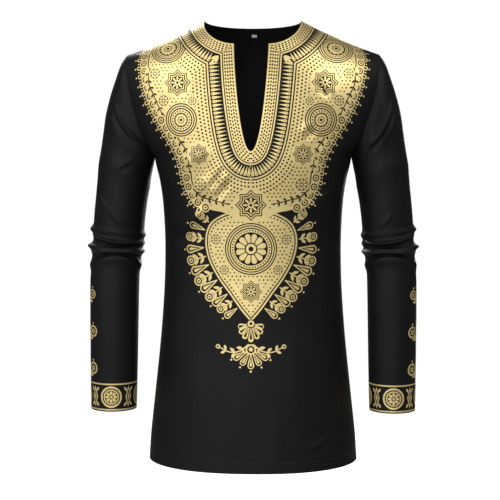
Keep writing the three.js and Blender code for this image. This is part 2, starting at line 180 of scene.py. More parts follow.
# Rings of the left sleeve from the armhole to the cuff: the outer and inner edge seen from the
# front, the reach to the front and back, and how far the middle lies forward.
Ring = namedtuple("Ring", "out_x out_z in_x in_z front back ahead")
SLEEVE_RINGS = [
    Ring(229.5, -61, 180, -247, 52, 48, 0),
    Ring(241, -78, 182.5, -258, 54, 50, 0),
    Ring(251.5, -106, 185, -269, 56, 52, 0),
    Ring(262, -138, 187.8, -282, 57, 54, 0),
    Ring(270, -174, 190.5, -297, 58, 55, 0),
    Ring(277, -217, 193.5, -316, 58, 55, 0),
    Ring(283.5, -262, 196.5, -338, 57, 55, 0),
    Ring(288.5, -308, 199, -358, 55, 54, 1),
    Ring(292.5, -348, 200.5, -374, 53, 53, 2),
    Ring(294.5, -375, 201.5, -388, 52, 52, 2),
    Ring(295.5, -400, 203, -406, 50, 51, 3),
    Ring(297, -425, 206, -427, 49, 50, 4),
    Ring(299.5, -450, 209, -450, 48, 48, 5),
    Ring(301, -485, 210.5, -485, 47, 47, 8),
    Ring(301, -560, 212, -560, 45, 45, 12),
    Ring(300.5, -640, 213.5, -640, 43, 43, 16),
    Ring(299.6, -711, 215.5, -711, 41, 41, 20),
]
ARMHOLE_FADE = 5  # the sleeve takes on its own rings over this many of them below the armhole
CREASE_FADE = 1.5  # and its creases start over this many

# Folds round the sleeve: height and reach where each crosses the outer edge, front, inner edge and back.
SleeveFold = namedtuple("SleeveFold", "z reach width")
SLEEVE_FOLDS = [
    SleeveFold((-172, -214, -262, -232), (1.0, 3.4, 1.2, 1.6), 20),
    SleeveFold((-262, -268, -300, -282), (1.2, 2.6, 1.6, 2.2), 18),
    SleeveFold((-379, -383, -390, -384), (5.0, 1.0, 3.5, 1.0), 5.5),
    SleeveFold((-390, -399, -406, -400), (1.0, 3.2, 3.5, 1.5), 4.8),
    SleeveFold((-410, -407, -408, -409), (9.0, 1.0, 0.0, 1.5), 5),
    SleeveFold((-420, -413, -421, -419), (2.5, 3.0, 5.0, 2.0), 4.8),
    SleeveFold((-444, -431, -446, -438), (2.0, 2.5, 3.0, 1.5), 8),
]

# Finer creases, each from one angle and height to another: degrees round from the outer edge over the
# front. The line sags by so much at its middle, and a hand of 0 is on both sleeves.
SLEEVE_RADIUS = 50.0  # turns a crease's degrees into a length
CREASE_REACH = 0.45  # where a crease dies away, from its middle, as a share of its length
Crease = namedtuple("Crease", "hand turn1 z1 turn2 z2 sag height width")
SLEEVE_CREASES = [
    # round both elbows, in front and behind
    Crease(0, 12, -376, 165, -398, -13, 6.2, 3.1),
    Crease(0, 8, -394, 74, -403, 0, -4.2, 3.2),
    Crease(0, 24, -405, 168, -404, -3, -6.2, 3.0),
    Crease(0, 12, -413, 172, -418, -4, 5.8, 3.0),
    Crease(0, 26, -445, 168, -450, 26, -6.2, 3.2),
    Crease(0, 10, -452, 70, -420, 4, 2.2, 4.0),
    Crease(0, 130, -424, 176, -452, 0, 2.0, 3.6),
    Crease(0, 195, -402, 340, -390, -7, 4.0, 3.6),
    Crease(0, 195, -409, 345, -402, -4, -4.2, 2.9),
    Crease(0, 190, -417, 345, -414, -2, 3.4, 3.2),
    Crease(0, 200, -441, 335, -436, 18, -4.2, 3.2),
    # the right sleeve
    Crease(-1, 50, -152, 126, -219, -8, 3.6, 3.3),
    Crease(-1, 50, -163, 120, -226, -8, -1.6, 4.0),
    Crease(-1, 96, -198, 140, -214, -2, -2.0, 4.4),
    Crease(-1, 82, -264, 114, -251, 0, 2.0, 4.2),
    Crease(-1, 84, -273, 112, -261, 0, -1.4, 4.6),
    Crease(-1, 26, -308, 66, -338, 0, 2.4, 4.6),
    Crease(-1, 70, -340, 114, -377, 0, 2.2, 4.6),
    Crease(-1, 215, -190, 300, -262, 0, 3.0, 6.0),
    Crease(-1, 205, -300, 280, -336, -4, 2.4, 5.5),
    Crease(-1, 250, -348, 310, -372, 0, 1.8, 5.0),
    # the left sleeve
    Crease(1, 46, -152, 114, -222, -9, 4.8, 3.5),
    Crease(1, 50, -169, 116, -234, -9, -3.6, 3.6),
    Crease(1, 62, -198, 124, -244, -2, 2.8, 3.3),
    Crease(1, 86, -220, 140, -256, 0, -2.6, 3.4),
    Crease(1, 72, -130, 118, -212, -4, 2.4, 8.0),
    Crease(1, 84, -132, 128, -206, -4, -2.2, 6.0),
    Crease(1, 82, -350, 110, -371, 0, 2.0, 4.4),
    Crease(1, 230, -200, 310, -250, 0, 2.8, 5.5),
    Crease(1, 215, -320, 300, -344, -4, 2.4, 5.5),
    Crease(1, 220, -150, 262, -226, 4, -2.4, 6.0),
]

# ---- Mesh density ----
COLUMNS = 60  # from the middle of a panel to its side
STEP_SPLITS = 6  # rows for each step up the armhole
ROW_SPACING = 3.8
HEM_ROW_SPACING = 1.1
HEM_CLOSE = 26.0  # the rows are close together up to this height above the hem
RING = 2 * ARM_STEPS * STEP_SPLITS  # points round a sleeve
# Rings of points down a sleeve, by place along its table: closest at the elbow and at the cuff's edge.
RingRun = namedtuple("RingRun", "start end count")
RING_RUNS = [
    RingRun(0, 8, 95),
    RingRun(8, 12.5, 107),
    RingRun(12.5, 15.55, 39),
    RingRun(15.55, 16, 25),
]
SLOPE_STEP = 0.4  # a surface's normal is taken from points this far to each side


# ---- Small helpers for curves ----
def mix(a, b, share):
    return a + (b - a) * share


def smooth(share):
    return share * share * (3 - 2 * share)


def fade(share, reach):
    """1 along the middle of a fold, falling off at its two ends."""
    return np.exp(-(((share - 0.5) / reach) ** 4))


def column(rows, name, places):
    """Reads one column of a table at any place along it, on a smooth curve through its rows."""
    at = np.array(places, float)
    values = np.array([getattr(row, name) for row in rows], float)
    slopes = np.empty_like(values)
    slopes[1:-1] = (values[2:] - values[:-2]) / (at[2:] - at[:-2])
    slopes[0] = (values[1] - values[0]) / (at[1] - at[0])
    slopes[-1] = (values[-1] - values[-2]) / (at[-1] - at[-2])

    def read(x):
        x = np.asarray(x, float)
        i = np.clip(np.searchsorted(at, x, side="right") - 1, 0, len(at) - 2)
        step = at[i + 1] - at[i]
        t = np.clip((x - at[i]) / step, 0, 1)
        line = mix(values[i], values[i + 1], smooth(t))
        return line + step * (slopes[i] * t * (1 - t) ** 2 - slopes[i + 1] * t * t * (1 - t))

    return read


BODY_READ = {
    name: column(BODY_SECTIONS, name, [row.z for row in BODY_SECTIONS])
    for name in ("half", "front", "back")
}
SLEEVE_READ = {
    name: column(SLEEVE_RINGS, name, range(len(SLEEVE_RINGS))) for name in Ring._fields
}


# ---- The body's surface ----
def shoulder_z(x):
    """Height of the shoulder seam, and over the neck of the crown that the neck hole cuts away."""
    away = np.abs(x)
    crown = SHOULDER_SLOPE * NECK_HALF / 2 * (1 - (away / NECK_HALF) ** 2)
    run = SHOULDER_POINT[0] - NECK_HALF
    bend = (SHOULDER_SLOPE * run + SHOULDER_POINT[1]) / run**2
    past = away - NECK_HALF
    return np.where(away < NECK_HALF, crown, -SHOULDER_SLOPE * past + bend * past**2)


def half_width(z):
    """Half width of the body's level section, which runs on under the sleeve above the armpit."""
    spread, rise = CAP_SPREAD
    above = ARMPIT[0] + spread * (1 - np.exp(np.minimum(0, (ARMPIT[1] - z) / rise)))
    return np.where(z <= ARMPIT[1], BODY_READ["half"](z), above)


def edge_x(z):
    """The edge of a panel: the side seam up to the armpit, and the armhole above it."""
    up = np.clip((z - ARMPIT[1]) / (SHOULDER_POINT[1] - ARMPIT[1]), 0, 1)
    arm = mix(ARMPIT[0], SHOULDER_POINT[0], np.sin(up * math.pi / 2))
    return np.where(z <= ARMPIT[1], BODY_READ["half"](z), arm)


def rounded(share, power):
    """Falls from 1 in the middle, where the share is 0, to 0 at the edge, square to it."""
    return np.sqrt(np.maximum(0, 1 - share**power))


def flat_half_width(z):
    """Half width of the flatter section that the chest takes on."""
    up = smooth(np.clip((z - CHEST_LOW) / (CHEST_HIGH - CHEST_LOW), 0, 1))
    return mix(half_width(np.minimum(z, CHEST_LOW)), CHEST_HALF, up)


def fold_height(folds, x, z):
    """Height of the drag folds at (x, z): each is highest along its line and fades out beside it."""
    total = np.zeros(np.broadcast(x, z).shape)
    for fold in folds:
        run_x, run_z = fold.x2 - fold.x1, fold.z2 - fold.z1
        length = math.hypot(run_x, run_z)
        along = ((x - fold.x1) * run_x + (z - fold.z1) * run_z) / length**2
        off = np.abs((x - fold.x1) * run_z - (z - fold.z1) * run_x) / length
        total = total + fold.height * fade(along, FOLD_REACH) * np.exp(-((off / fold.width) ** 2))
    return total


def section_depth(side, x, z):
    """Depth of the level section at x, before the chest leans back to the shoulder seam."""
    away = np.abs(x)
    near_edge = np.minimum(1, away / edge_x(z)) ** CHEST_POWER
    across = mix(
        rounded(np.minimum(1, away / flat_half_width(z)), SECTION_POWER),
        rounded(np.minimum(1, away / half_width(z)), SECTION_POWER),
        near_edge,
    )
    return BODY_READ[side.name](z) * across


def plain_depth(side, x, z):
    """Depth of the body at (x, z) with the lean to the shoulder seam, and without folds."""
    lean_run = shoulder_z(x) - side.lean_z
    return section_depth(side, x, z) * rounded(np.clip((z - side.lean_z) / lean_run, 0, 1), LEAN_POWER)


def depth(side, x, z):
    """How far a side of the body stands in front of or behind the seams at (x, z), folds included."""
    plain = plain_depth(side, x, z)
    return plain + fold_height(side.folds, x, z) * smooth(np.minimum(1, plain / FOLD_EDGE))


def stitch_dip(height, line):
    """The cloth is drawn in a little along the stitches of a turned edge."""
    return STITCH_DIP * np.exp(-(((height - line) / STITCH_DIP_REACH) ** 2))


def body_point(side, x, z):
    """The point of a panel's outer face at (x, z)."""
    out = depth(side, x, z)
    out = out - stitch_dip(z - HEM, HEM_STITCH) * smooth(np.minimum(1, out / FOLD_EDGE))
    return np.stack([x, side.sign * (out + SEAM_GAP / 2), z], axis=-1)


def surface_frame(point, first, second):
    """A point of a surface and its unit normal, from steps along the surface's two directions."""
    along = point(first + SLOPE_STEP, second) - point(first - SLOPE_STEP, second)
    across = point(first, second + SLOPE_STEP) - point(first, second - SLOPE_STEP)
    normal = np.cross(along, across)
    return point(first, second), normal / np.linalg.norm(normal, axis=-1, keepdims=True)


def slit_half(z):
    """Half width of the chest slit."""
    down = np.clip((z - SLIT_CORNER[1]) / (SLIT_END - SLIT_CORNER[1]), 0, 1)
    return SLIT_CORNER[0] * rounded(down, SLIT_TAPER)


def inner_edge(side, step):
    """Inner end of the rows above the armpit: the middle line, then the slit, then the neckline."""
    steps = np.arange(ARM_STEPS + 1)
    corner = len(side.middle) - 1
    # The front's rows crowd at the round end of the slit, in the step above it.
    eased = np.where((side is FRONT) & (np.floor(step) == 1), 1 + (step - 1) ** 2, step)
    z = np.interp(eased, steps[: corner + 1], side.middle)
    x = slit_half(z) if side is FRONT else np.zeros_like(z)
    angle = np.radians(np.interp(step, steps[corner:], side.neck_angles))
    if side is FRONT:
        neck_x = mix(SLIT_CORNER[0], NECK_HALF, np.cos(angle))
        neck_z = SLIT_CORNER[1] * np.sin(angle)
    else:
        neck_x = NECK_HALF * np.cos(angle)
        neck_z = -BACK_NECK_DROP * np.sin(angle)
    past = step > corner
    return np.where(past, neck_x, x), np.where(past, neck_z, z)


def arm_step_z(step):
    """Height of the armhole's edge at a step: the steps are short at the armpit and the shoulder."""
    middle = (SHOULDER_POINT[1] + ARMPIT[1]) / 2
    half = (SHOULDER_POINT[1] - ARMPIT[1]) / 2
    return middle - half * np.cos(math.pi * step / ARM_STEPS)


def panel_rows(side):
    """Inner x and z, and outer z, of each row of points from the hem to the shoulder seam.

    The last value is the number of rows below the armpit.
    """
    hem_rows = np.arange(0, HEM_CLOSE, HEM_ROW_SPACING)
    rise = ARMPIT[1] - HEM
    count = round((rise - hem_rows[-1]) / ROW_SPACING)
    up = np.concatenate([hem_rows[:-1], np.linspace(hem_rows[-1], rise, count + 1)[:-1]]) / rise
    step = np.arange(ARM_STEPS * STEP_SPLITS + 1) / STEP_SPLITS
    in_x, in_z = inner_edge(side, step)
    return (
        np.concatenate([np.zeros_like(up), in_x]),
        np.concatenate([mix(HEM, in_z[0], up), in_z]),
        np.concatenate([mix(HEM, ARMPIT[1], up), arm_step_z(step)]),
        len(up),
    )


def panel_grid(side, hand):
    """Points of one hand of a panel, and how many rows lie below the armpit.

    There is a row for each height and a column for each place across.
    """
    in_x, in_z, out_z, lower = panel_rows(side)
    out_x = edge_x(out_z)
    turn = np.arcsin(np.minimum(1, out_x / half_width(out_z)))
    share = np.sin(np.outer(turn, np.arange(COLUMNS + 1) / COLUMNS)) / np.sin(turn)[:, None]
    x = mix(in_x[:, None], out_x[:, None], share)
    fall = shoulder_z(in_x) - shoulder_z(out_x)
    rise = (shoulder_z(x) - shoulder_z(out_x)[:, None]) / fall[:, None]
    z = mix(out_z[:, None], in_z[:, None], rise)
    return body_point(side, hand * x, z), lower


# ---- The sleeve's surface ----
def round_sleeve(four, angle):
    """Four values at the outer edge, front, inner edge and back, read smoothly at any angle."""
    outer, front, inner, back = four
    level = (outer + inner + front + back) / 4
    pinch = (outer + inner - front - back) / 4
    sway = (outer - inner) / 2 * np.cos(angle) + (front - back) / 2 * np.sin(angle)
    return level + sway + pinch * np.cos(2 * angle)


def crease_height(hand, angle, z):
    """Creases of one sleeve, at an angle round it in radians and a height."""
    turn = np.degrees(angle) % 360
    total = np.zeros(np.broadcast(angle, z).shape)
    for crease in SLEEVE_CREASES:
        if crease.hand not in (0, hand):
            continue
        span = crease.turn2 - crease.turn1
        share = ((turn - crease.turn1 + 180 - span / 2) % 360 - 180 + span / 2) / span
        line = mix(crease.z1, crease.z2, share) + crease.sag * 4 * share * (1 - share)
        slope = (crease.z2 - crease.z1) / (math.radians(span) * SLEEVE_RADIUS)
        off = (z - line) / (crease.width * math.hypot(1, slope))
        total = total + crease.height * fade(share, CREASE_REACH) * np.exp(-(off**2))
    return total


def tube_point(place, angle, hand=0):
    """A point of the left sleeve, at a place along its table of rings.

    The angle goes from the outer edge to the front. A hand adds the creases of that sleeve: 1 for the
    left, -1 for the right.
    """
    at = {name: read(place) for name, read in SLEEVE_READ.items()}
    share = np.cos(angle)
    mid_x, mid_z = (at["out_x"] + at["in_x"]) / 2, (at["out_z"] + at["in_z"]) / 2
    x = mid_x + share * (at["out_x"] - at["in_x"]) / 2
    z = mid_z + share * (at["out_z"] - at["in_z"]) / 2
    reach = np.where(np.sin(angle) > 0, at["front"], at["back"])
    y = -at["ahead"] - reach * np.sin(angle)
    out = np.stack([x - mid_x, y + at["ahead"], z - mid_z], axis=-1)
    out /= np.linalg.norm(out, axis=-1, keepdims=True)
    height = sum(
        np.maximum(0, round_sleeve(fold.reach, angle))
        * np.exp(-(((z - round_sleeve(fold.z, angle)) / fold.width) ** 2))
        for fold in SLEEVE_FOLDS
    ) - stitch_dip(z - CUFF, CUFF_STITCH)
    if hand:
        height = height + smooth(np.clip(place / CREASE_FADE, 0, 1)) * crease_height(hand, angle, z)
    return np.stack([x, y, z], axis=-1) + out * height[..., None]


RING_PLACES = np.concatenate([
    *(np.linspace(run.start, run.end, run.count, endpoint=False) for run in RING_RUNS),
    [RING_RUNS[-1].end],
])


# ---- Meshes ----
def grid_quads(ids, outward):
    """Quads between the points of a grid of numbers, turned round unless they face outward as they are."""
    quads = np.stack([ids[:-1, :-1], ids[:-1, 1:], ids[1:, 1:], ids[1:, :-1]], axis=-1).reshape(-1, 4)
    return quads if outward else quads[:, ::-1]


def face_normals(points, quads):
    """Each quad's normal, twice as long as its area."""
    a, b, c, d = (points[quads[:, i]] for i in range(4))
    return np.cross(c - a, d - b)


def surface_normals(points, quads):
    """A unit normal for each point, from the quads round it."""
    normals = np.zeros_like(points)
    each = face_normals(points, quads)
    for i in range(4):
        np.add.at(normals, quads[:, i], each)
    return normals / np.maximum(1e-12, np.linalg.norm(normals, axis=1, keepdims=True))


def open_edges(quads):
    """Edges with a face on one side only, each in the direction of that face."""
    found = {}
    for face in quads.tolist():
        for a, b in zip(face, face[1:] + face[:1]):
            if found.pop((b, a), None) is None:
                found[(a, b)] = True
    return np.array(list(found))


def wall_faces(quads, count):
    """Outer faces, inner faces turned round, and a rim along the open edges."""
    edges = open_edges(quads)
    rim = np.stack([edges[:, 1], edges[:, 0], edges[:, 0] + count, edges[:, 1] + count], axis=-1)
    return np.concatenate([quads, quads[:, ::-1] + count, rim])


def new_mesh(name, points, faces, uv=None, girth=None):
    """A mesh object from points in millimetres, with a UV map in metres of cloth.

    Where girth is given, the map runs round a tube, and faces over its join get the far side's place.
    """
    mesh = bpy.data.meshes.new(name)
    faces = np.asarray(faces)
    mesh.from_pydata((np.asarray(points) * MM).tolist(), [], faces.tolist())
    if uv is not None:
        corner_uv = uv[faces]
        if girth is not None:
            across = corner_uv[..., 0]
            over = (np.ptp(across, axis=1) > 0.5 * girth.min())[:, None] & (across < 0)
            across += over * girth[faces]
        layer = mesh.uv_layers.new(name="cloth")
        layer.data.foreach_set("uv", (corner_uv.reshape(-1, 2) * MM).astype(np.float32).ravel())
    mesh.update()
    piece = bpy.data.objects.new(name, mesh)
    bpy.context.scene.collection.objects.link(piece)
    return piece


def pick(piece):
    """Selects one object alone and makes it active, so that operators act on it."""
    bpy.ops.object.select_all(action="DESELECT")
    piece.select_set(True)
    bpy.context.view_layer.objects.active = piece


def edit_all(piece, operator, **settings):
    """Runs an edit-mode operator on the whole of a mesh."""
    pick(piece)
    bpy.ops.object.mode_set(mode="EDIT")
    bpy.ops.mesh.select_all(action="SELECT")
    operator(**settings)
    bpy.ops.object.mode_set(mode="OBJECT")


def finish_piece(piece, material, smooth_angle=55):
    """Gives a new piece its material and smooth shading, and says what it rides on."""
    if not piece.data.polygons:
        raise RuntimeError(piece.name + " has no faces")
    pick(piece)
    piece.data.materials.append(material)
    bpy.ops.object.shade_smooth_by_angle(angle=math.radians(smooth_angle))
    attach(piece, BODY)
    return piece


# ---- Cloth pieces ----
def declare_sheet(points, quads):
    """Works out the area of the outer face from millimetres, and does nothing with it."""
    area = np.linalg.norm(face_normals(points, quads), axis=1).sum() / 2


def mesh_runs(grid, axis):
    """Distance along the rows or columns of a grid of points, from the first point to each."""
    first = grid[:, :1] if axis else grid[:1]
    return np.cumsum(np.linalg.norm(np.diff(grid, axis=axis, prepend=first), axis=2), axis=axis)


class Panel:
    """Outer points, faces and cloth coordinates of the front or back, both hands."""

    def __init__(self, side):
        self.side = side
        left, self.lower = panel_grid(side, 1)
        right, _ = panel_grid(side, -1)
        rows, cols = left.shape[:2]
        whole = left[:, 0, 0] < 1e-6  # rows that run through the middle
        self.ids = {1: np.arange(rows * cols).reshape(rows, cols)}
        self.ids[-1] = self.ids[1] + rows * cols
        self.ids[-1][whole, 0] = self.ids[1][whole, 0]
        self.points = np.concatenate([left.reshape(-1, 3), right.reshape(-1, 3)])
        self.quads = np.concatenate([
            grid_quads(self.ids[hand], hand * side.sign < 0) for hand in (1, -1)
        ])
        across = left[:, :1, 0] + mesh_runs(left, 1)
        along = mesh_runs(left, 0)
        self.uv = np.concatenate([
            np.stack([hand * across, along], axis=-1).reshape(-1, 2) for hand in (1, -1)
        ])
        self.normals = surface_normals(self.points, self.quads)

    def keep_side(self, moved):
        """The piece stays on its own side of the plane through the side and shoulder seams."""
        least = np.minimum(SEAM_GAP / 2, np.abs(self.points[:, 1]))
        moved[:, 1] = self.side.sign * np.maximum(self.side.sign * moved[:, 1], least)
        return moved

    def make(self, name, wall, material, slot):
        """The panel as a closed wall."""
        self.points = self.keep_side(self.points.copy())
        inner = self.keep_side(self.points - wall * self.normals)
        used, order = np.unique(self.quads, return_inverse=True)
        quads = order.reshape(self.quads.shape)
        points = np.concatenate([self.points[used], inner[used]])
        uv = np.concatenate([self.uv[used], self.uv[used]])
        piece = new_mesh(name, points, wall_faces(quads, len(used)), uv)
        finish_piece(piece, material)
        width, length = np.ptp(self.uv, axis=0)
        declare_sheet(self.points, self.quads)
        return piece


class Sleeve:
    """Outer points, faces and cloth coordinates of a sleeve, worked out as if it were the left one."""

    def __init__(self, hand, front, back):
        self.hand = hand
        self.flip = np.array([hand, 1, 1])
        self.corners = [self.corners_at(front, back, j) for j in range(RING)]
        edge = self.flip * np.array([
            np.mean([panel.points[i] for panel, i in on], axis=0) for on in self.corners
        ])
        edge[[0, RING // 2], 1] = 0
        angle = 2 * math.pi * np.arange(RING) / RING
        place, around = np.meshgrid(RING_PLACES, angle, indexing="ij")
        own = 1 - smooth(np.clip(RING_PLACES / ARMHOLE_FADE, 0, 1))
        stray = edge - tube_point(np.zeros(RING), angle, hand)
        grid = tube_point(place, around, hand) + own[:, None, None] * stray
        rows = len(RING_PLACES)
        ids = np.arange(rows * RING).reshape(rows, RING)
        self.quads = grid_quads(np.concatenate([ids, ids[:, :1]], axis=1), True)
        self.points = grid.reshape(-1, 3)
        self.normals = surface_normals(self.points, self.quads)
        along = mesh_runs(grid, 0)
        girth = np.linalg.norm(np.diff(grid, axis=1, append=grid[:, :1]), axis=2).sum(axis=1)
        turn = (np.arange(RING) + RING // 2) % RING / RING - 0.5
        self.uv = np.stack([np.outer(girth, turn), along], axis=-1).reshape(-1, 2)
        self.girth = np.repeat(girth, RING)
        self.join(edge)

    def corners_at(self, front, back, j):
        """The panels' edge points, one or two, that point j of the sleeve's first ring is sewn to."""
        half = RING // 2
        on = []
        if j <= half:
            on.append((front, front.ids[self.hand][front.lower + half - j, -1]))
        if j >= half or j == 0:
            on.append((back, back.ids[self.hand][back.lower + abs(j - half), -1]))
        return on

    def join(self, edge):
        """The sleeve and body meet on a mitre, half the seam gap to each side of it."""
        run = np.roll(edge, -1, axis=0) - np.roll(edge, 1, axis=0)
        for j, on in enumerate(self.corners):
            body = np.mean([panel.normals[i] for panel, i in on], axis=0)
            mitre = self.normals[j] + self.flip * body
            if len(on) > 1:
                mitre[1] = 0
            mitre /= np.linalg.norm(mitre)
            apart = np.cross(run[j], mitre)
            apart /= np.linalg.norm(apart)
            if apart @ (self.points[RING + j] - edge[j]) < 0:
                apart = -apart
            self.points[j] += apart * SEAM_GAP / 2
            self.normals[j] = mitre
            for panel, i in on:
                panel.points[i] -= apart * self.flip * SEAM_GAP / 2
                panel.normals[i] = mitre * self.flip

    def make(self, name, wall, material, slot):
        """The sleeve as a closed wall."""
        quads = self.quads if self.hand > 0 else self.quads[:, ::-1]
        points = np.concatenate([self.points, self.points - wall * self.normals]) * self.flip
        uv = np.concatenate([self.uv, self.uv])
        girth = np.concatenate([self.girth, self.girth])
        piece = new_mesh(name, points, wall_faces(quads, len(self.points)), uv, girth)
        finish_piece(piece, material)
        declare_sheet(self.points, quads)
        return piece


class Cut:
    """The four cloth pieces' shapes, worked out once and joined at the armholes."""

    def __init__(self):
        self.front = Panel(FRONT)
        self.back = Panel(BACK)
        self.sleeves = {hand: Sleeve(hand, self.front, self.back) for hand in (1, -1)}


@functools.cache
def cut():
    return Cut()


@functools.cache
def flat_front():
    return FlatFront()


# ---- The front laid flat ----
class FlatFront:
    """The left front on flat cloth: s is the distance across from the middle, t the distance up.

    The tables are read both ways, so that an ornament drawn flat is bent round the body and shoulder.
    """

    LEVEL = -200.0  # t equals z at this height
    ACROSS, UP = 2.0, 4.0  # spacing of the tables in x and z
    WIDE, LOW, HIGH = 242.0, -700.0, 32.0  # the reach of the tables
    ROWS = 420  # rows of the table of t
    FALL = 760.0  # depth of the last of them below the shoulder seam
    ROUNDS = 5
    HALVINGS = 24

    def __init__(self):
        self.x = np.arange(0, self.WIDE, self.ACROSS)
        x, z = np.meshgrid(self.x, np.arange(self.LOW, self.HIGH, self.UP))
        self.s = mesh_runs(np.stack([x, section_depth(FRONT, x, z)], axis=-1), 1)
        x, row = np.meshgrid(self.x, np.arange(self.ROWS + 1.0))
        z = shoulder_z(x) - self.below_seam(row)
        down = mesh_runs(np.stack([z, plain_depth(FRONT, x, z)], axis=-1), 0)
        at_level = [
            np.interp(self.LEVEL, z[::-1, j], down[::-1, j]) for j in range(len(self.x))
        ]
        self.t = self.LEVEL + np.array(at_level) - down

    @classmethod
    def below_seam(cls, row):
        """Depth below the shoulder seam: the rows crowd towards it, where the cloth turns over."""
        return cls.FALL * (row / cls.ROWS) ** 2

    @staticmethod
    def between(table, row, col):
        """A table's value at a place between its rows and columns."""
        i = np.clip(row.astype(int), 0, table.shape[0] - 2)
        j = np.clip(col.astype(int), 0, table.shape[1] - 2)
        u, v = row - i, col - j
        low = mix(table[i, j], table[i, j + 1], v)
        return mix(low, mix(table[i + 1, j], table[i + 1, j + 1], v), u)

    def across(self, x, z):
        return self.between(self.s, (z - self.LOW) / self.UP, x / self.ACROSS)

    def up(self, x, row):
        return self.between(self.t, row, x / self.ACROSS)

    def flat(self, x, z):
        """Flat places of points given by x and z."""
        x, z = np.broadcast_arrays(np.asarray(x, float), np.asarray(z, float))
        row = self.ROWS * np.sqrt(np.maximum(0, shoulder_z(x) - z) / self.FALL)
        return np.stack([self.across(x, z), self.up(x, row)], axis=-1)

    @classmethod
    def search(cls, high, is_short):
        """The places from 0 to high where a test stops being true, found by halving."""
        low = np.zeros_like(high)
        for _ in range(cls.HALVINGS):
            middle = (low + high) / 2
            short = is_short(middle)
            low, high = np.where(short, middle, low), np.where(short, high, middle)
        return (low + high) / 2

    def bent(self, points):
        """x and z of flat places: each is searched for with the other held, in a few rounds."""
        s, t = points.T
        x = s
        for _ in range(self.ROUNDS):
            row = self.search(np.full_like(s, self.ROWS), lambda middle: self.up(x, middle) > t)
            z = shoulder_z(x) - self.below_seam(row)
            x = self.search(np.full_like(s, self.x[-1]), lambda middle: self.across(middle, z) < s)
        return x, z


# ---- Lines and outlines on flat cloth ----
class Lane:
    """A line on flat cloth that ornament is set along."""

    def __init__(self, points):
        self.points = np.asarray(points, float)
        steps = np.linalg.norm(np.diff(self.points, axis=0), axis=1)
        self.run = np.concatenate([[0], np.cumsum(steps)])
        self.length = self.run[-1]

    def at(self, distance):
        """The point at a distance along the line, and the line's direction there in degrees."""
        ends = [np.interp(distance, self.run, self.points[:, i]) for i in (0, 1)]
        i = int(np.clip(np.searchsorted(self.run, distance), 1, len(self.run) - 1))
        run = self.points[i] - self.points[i - 1]
        return np.array(ends), math.degrees(math.atan2(run[1], run[0]))

    def beside(self, distance):
        """The line moved to its right by a distance."""
        run = np.gradient(self.points, self.run, axis=0)
        run /= np.linalg.norm(run, axis=1, keepdims=True)
        return Lane(self.points + distance * np.stack([run[:, 1], -run[:, 0]], axis=-1))

    def spots(self, spacing, start=0.5):
        """Evenly spaced places along the line, near the given spacing, half a step in from its ends."""
        count = max(1, round(self.length / spacing))
        return [self.at((i + start) * self.length / count) for i in range(count)]


def crossing(first, second):
    """Where two lines cross: the index of the crossing step of each, and the point."""
    start, other = first[:-1, None], second[None, :-1]
    run, run2 = np.diff(first, axis=0)[:, None], np.diff(second, axis=0)[None]
    cross = run[..., 0] * run2[..., 1] - run[..., 1] * run2[..., 0]
    gap = other - start
    along = (gap[..., 0] * run2[..., 1] - gap[..., 1] * run2[..., 0]) / cross
    along2 = (gap[..., 0] * run[..., 1] - gap[..., 1] * run[..., 0]) / cross
    i, j = np.argwhere((along >= 0) & (along <= 1) & (along2 >= 0) & (along2 <= 1))[0]
    return i, j, first[i] + along[i, j] * run[i, 0]


def curve(points, steps=6):
    """A smooth line through points."""
    points = np.asarray(points, float)
    padded = np.concatenate([[2 * points[0] - points[1]], points, [2 * points[-1] - points[-2]]])
    t = np.linspace(0, 1, steps, endpoint=False)[:, None]
    parts = []
    for a, b, c, d in zip(padded, padded[1:], padded[2:], padded[3:]):
        parts.append(
            b + t * (c - a) / 2 + t**2 * (a - 2.5 * b + 2 * c - d / 2)
            + t**3 * (1.5 * (b - c) + (d - a) / 2)
        )
    return np.concatenate([*parts, points[-1:]])


CHORD_ERROR = 0.12  # round outlines are drawn to this closeness
LEAF_STEPS = 8
PETAL_STEPS = 10


def circle(radius):
    count = max(8, math.ceil(math.pi / math.acos(1 - CHORD_ERROR / max(radius, 1.0))))
    angle = 2 * math.pi * np.arange(count) / count
    return radius * np.stack([np.cos(angle), np.sin(angle)], axis=-1)


def lens(length, width):
    """A leaf pointed at both ends, lying along +s from the origin."""
    t = np.linspace(0, 1, LEAF_STEPS)
    upper = np.stack([t * length, width / 2 * np.sin(math.pi * t)], axis=-1)
    return np.concatenate([upper, upper[-2:0:-1] * [1, -1]])


def petal(length, width):
    """A petal pointed at the origin and round at its far end."""
    radius = width / 2
    centre = length - radius
    reach = math.pi - math.acos(radius / centre)
    angle = np.linspace(-reach, reach, PETAL_STEPS)
    tip = np.stack([centre + radius * np.cos(angle), radius * np.sin(angle)], axis=-1)
    return np.concatenate([[[0, 0]], tip])


def star(radius, points, waist):
    """A star whose inner corners lie at the waist's share of its radius."""
    angle = math.pi * np.arange(2 * points) / points + math.pi / 2
    reach = np.where(np.arange(2 * points) % 2, radius * waist, radius)
    return np.stack([reach * np.cos(angle), reach * np.sin(angle)], axis=-1)


def lozenge(width, height):
    return np.array([[width / 2, 0], [0, height / 2], [-width / 2, 0], [0, -height / 2]])


def inside(points, outline):
    """Which points lie inside an outline."""
    x, y = points[:, 0, None], points[:, 1, None]
    ax, ay = outline.T
    bx, by = np.roll(outline, -1, axis=0).T
    spans = (ay > y) != (by > y)
    with np.errstate(divide="ignore", invalid="ignore"):
        left = x < ax + (y - ay) * (bx - ax) / (by - ay)
    return np.count_nonzero(spans & left, axis=1) % 2 == 1


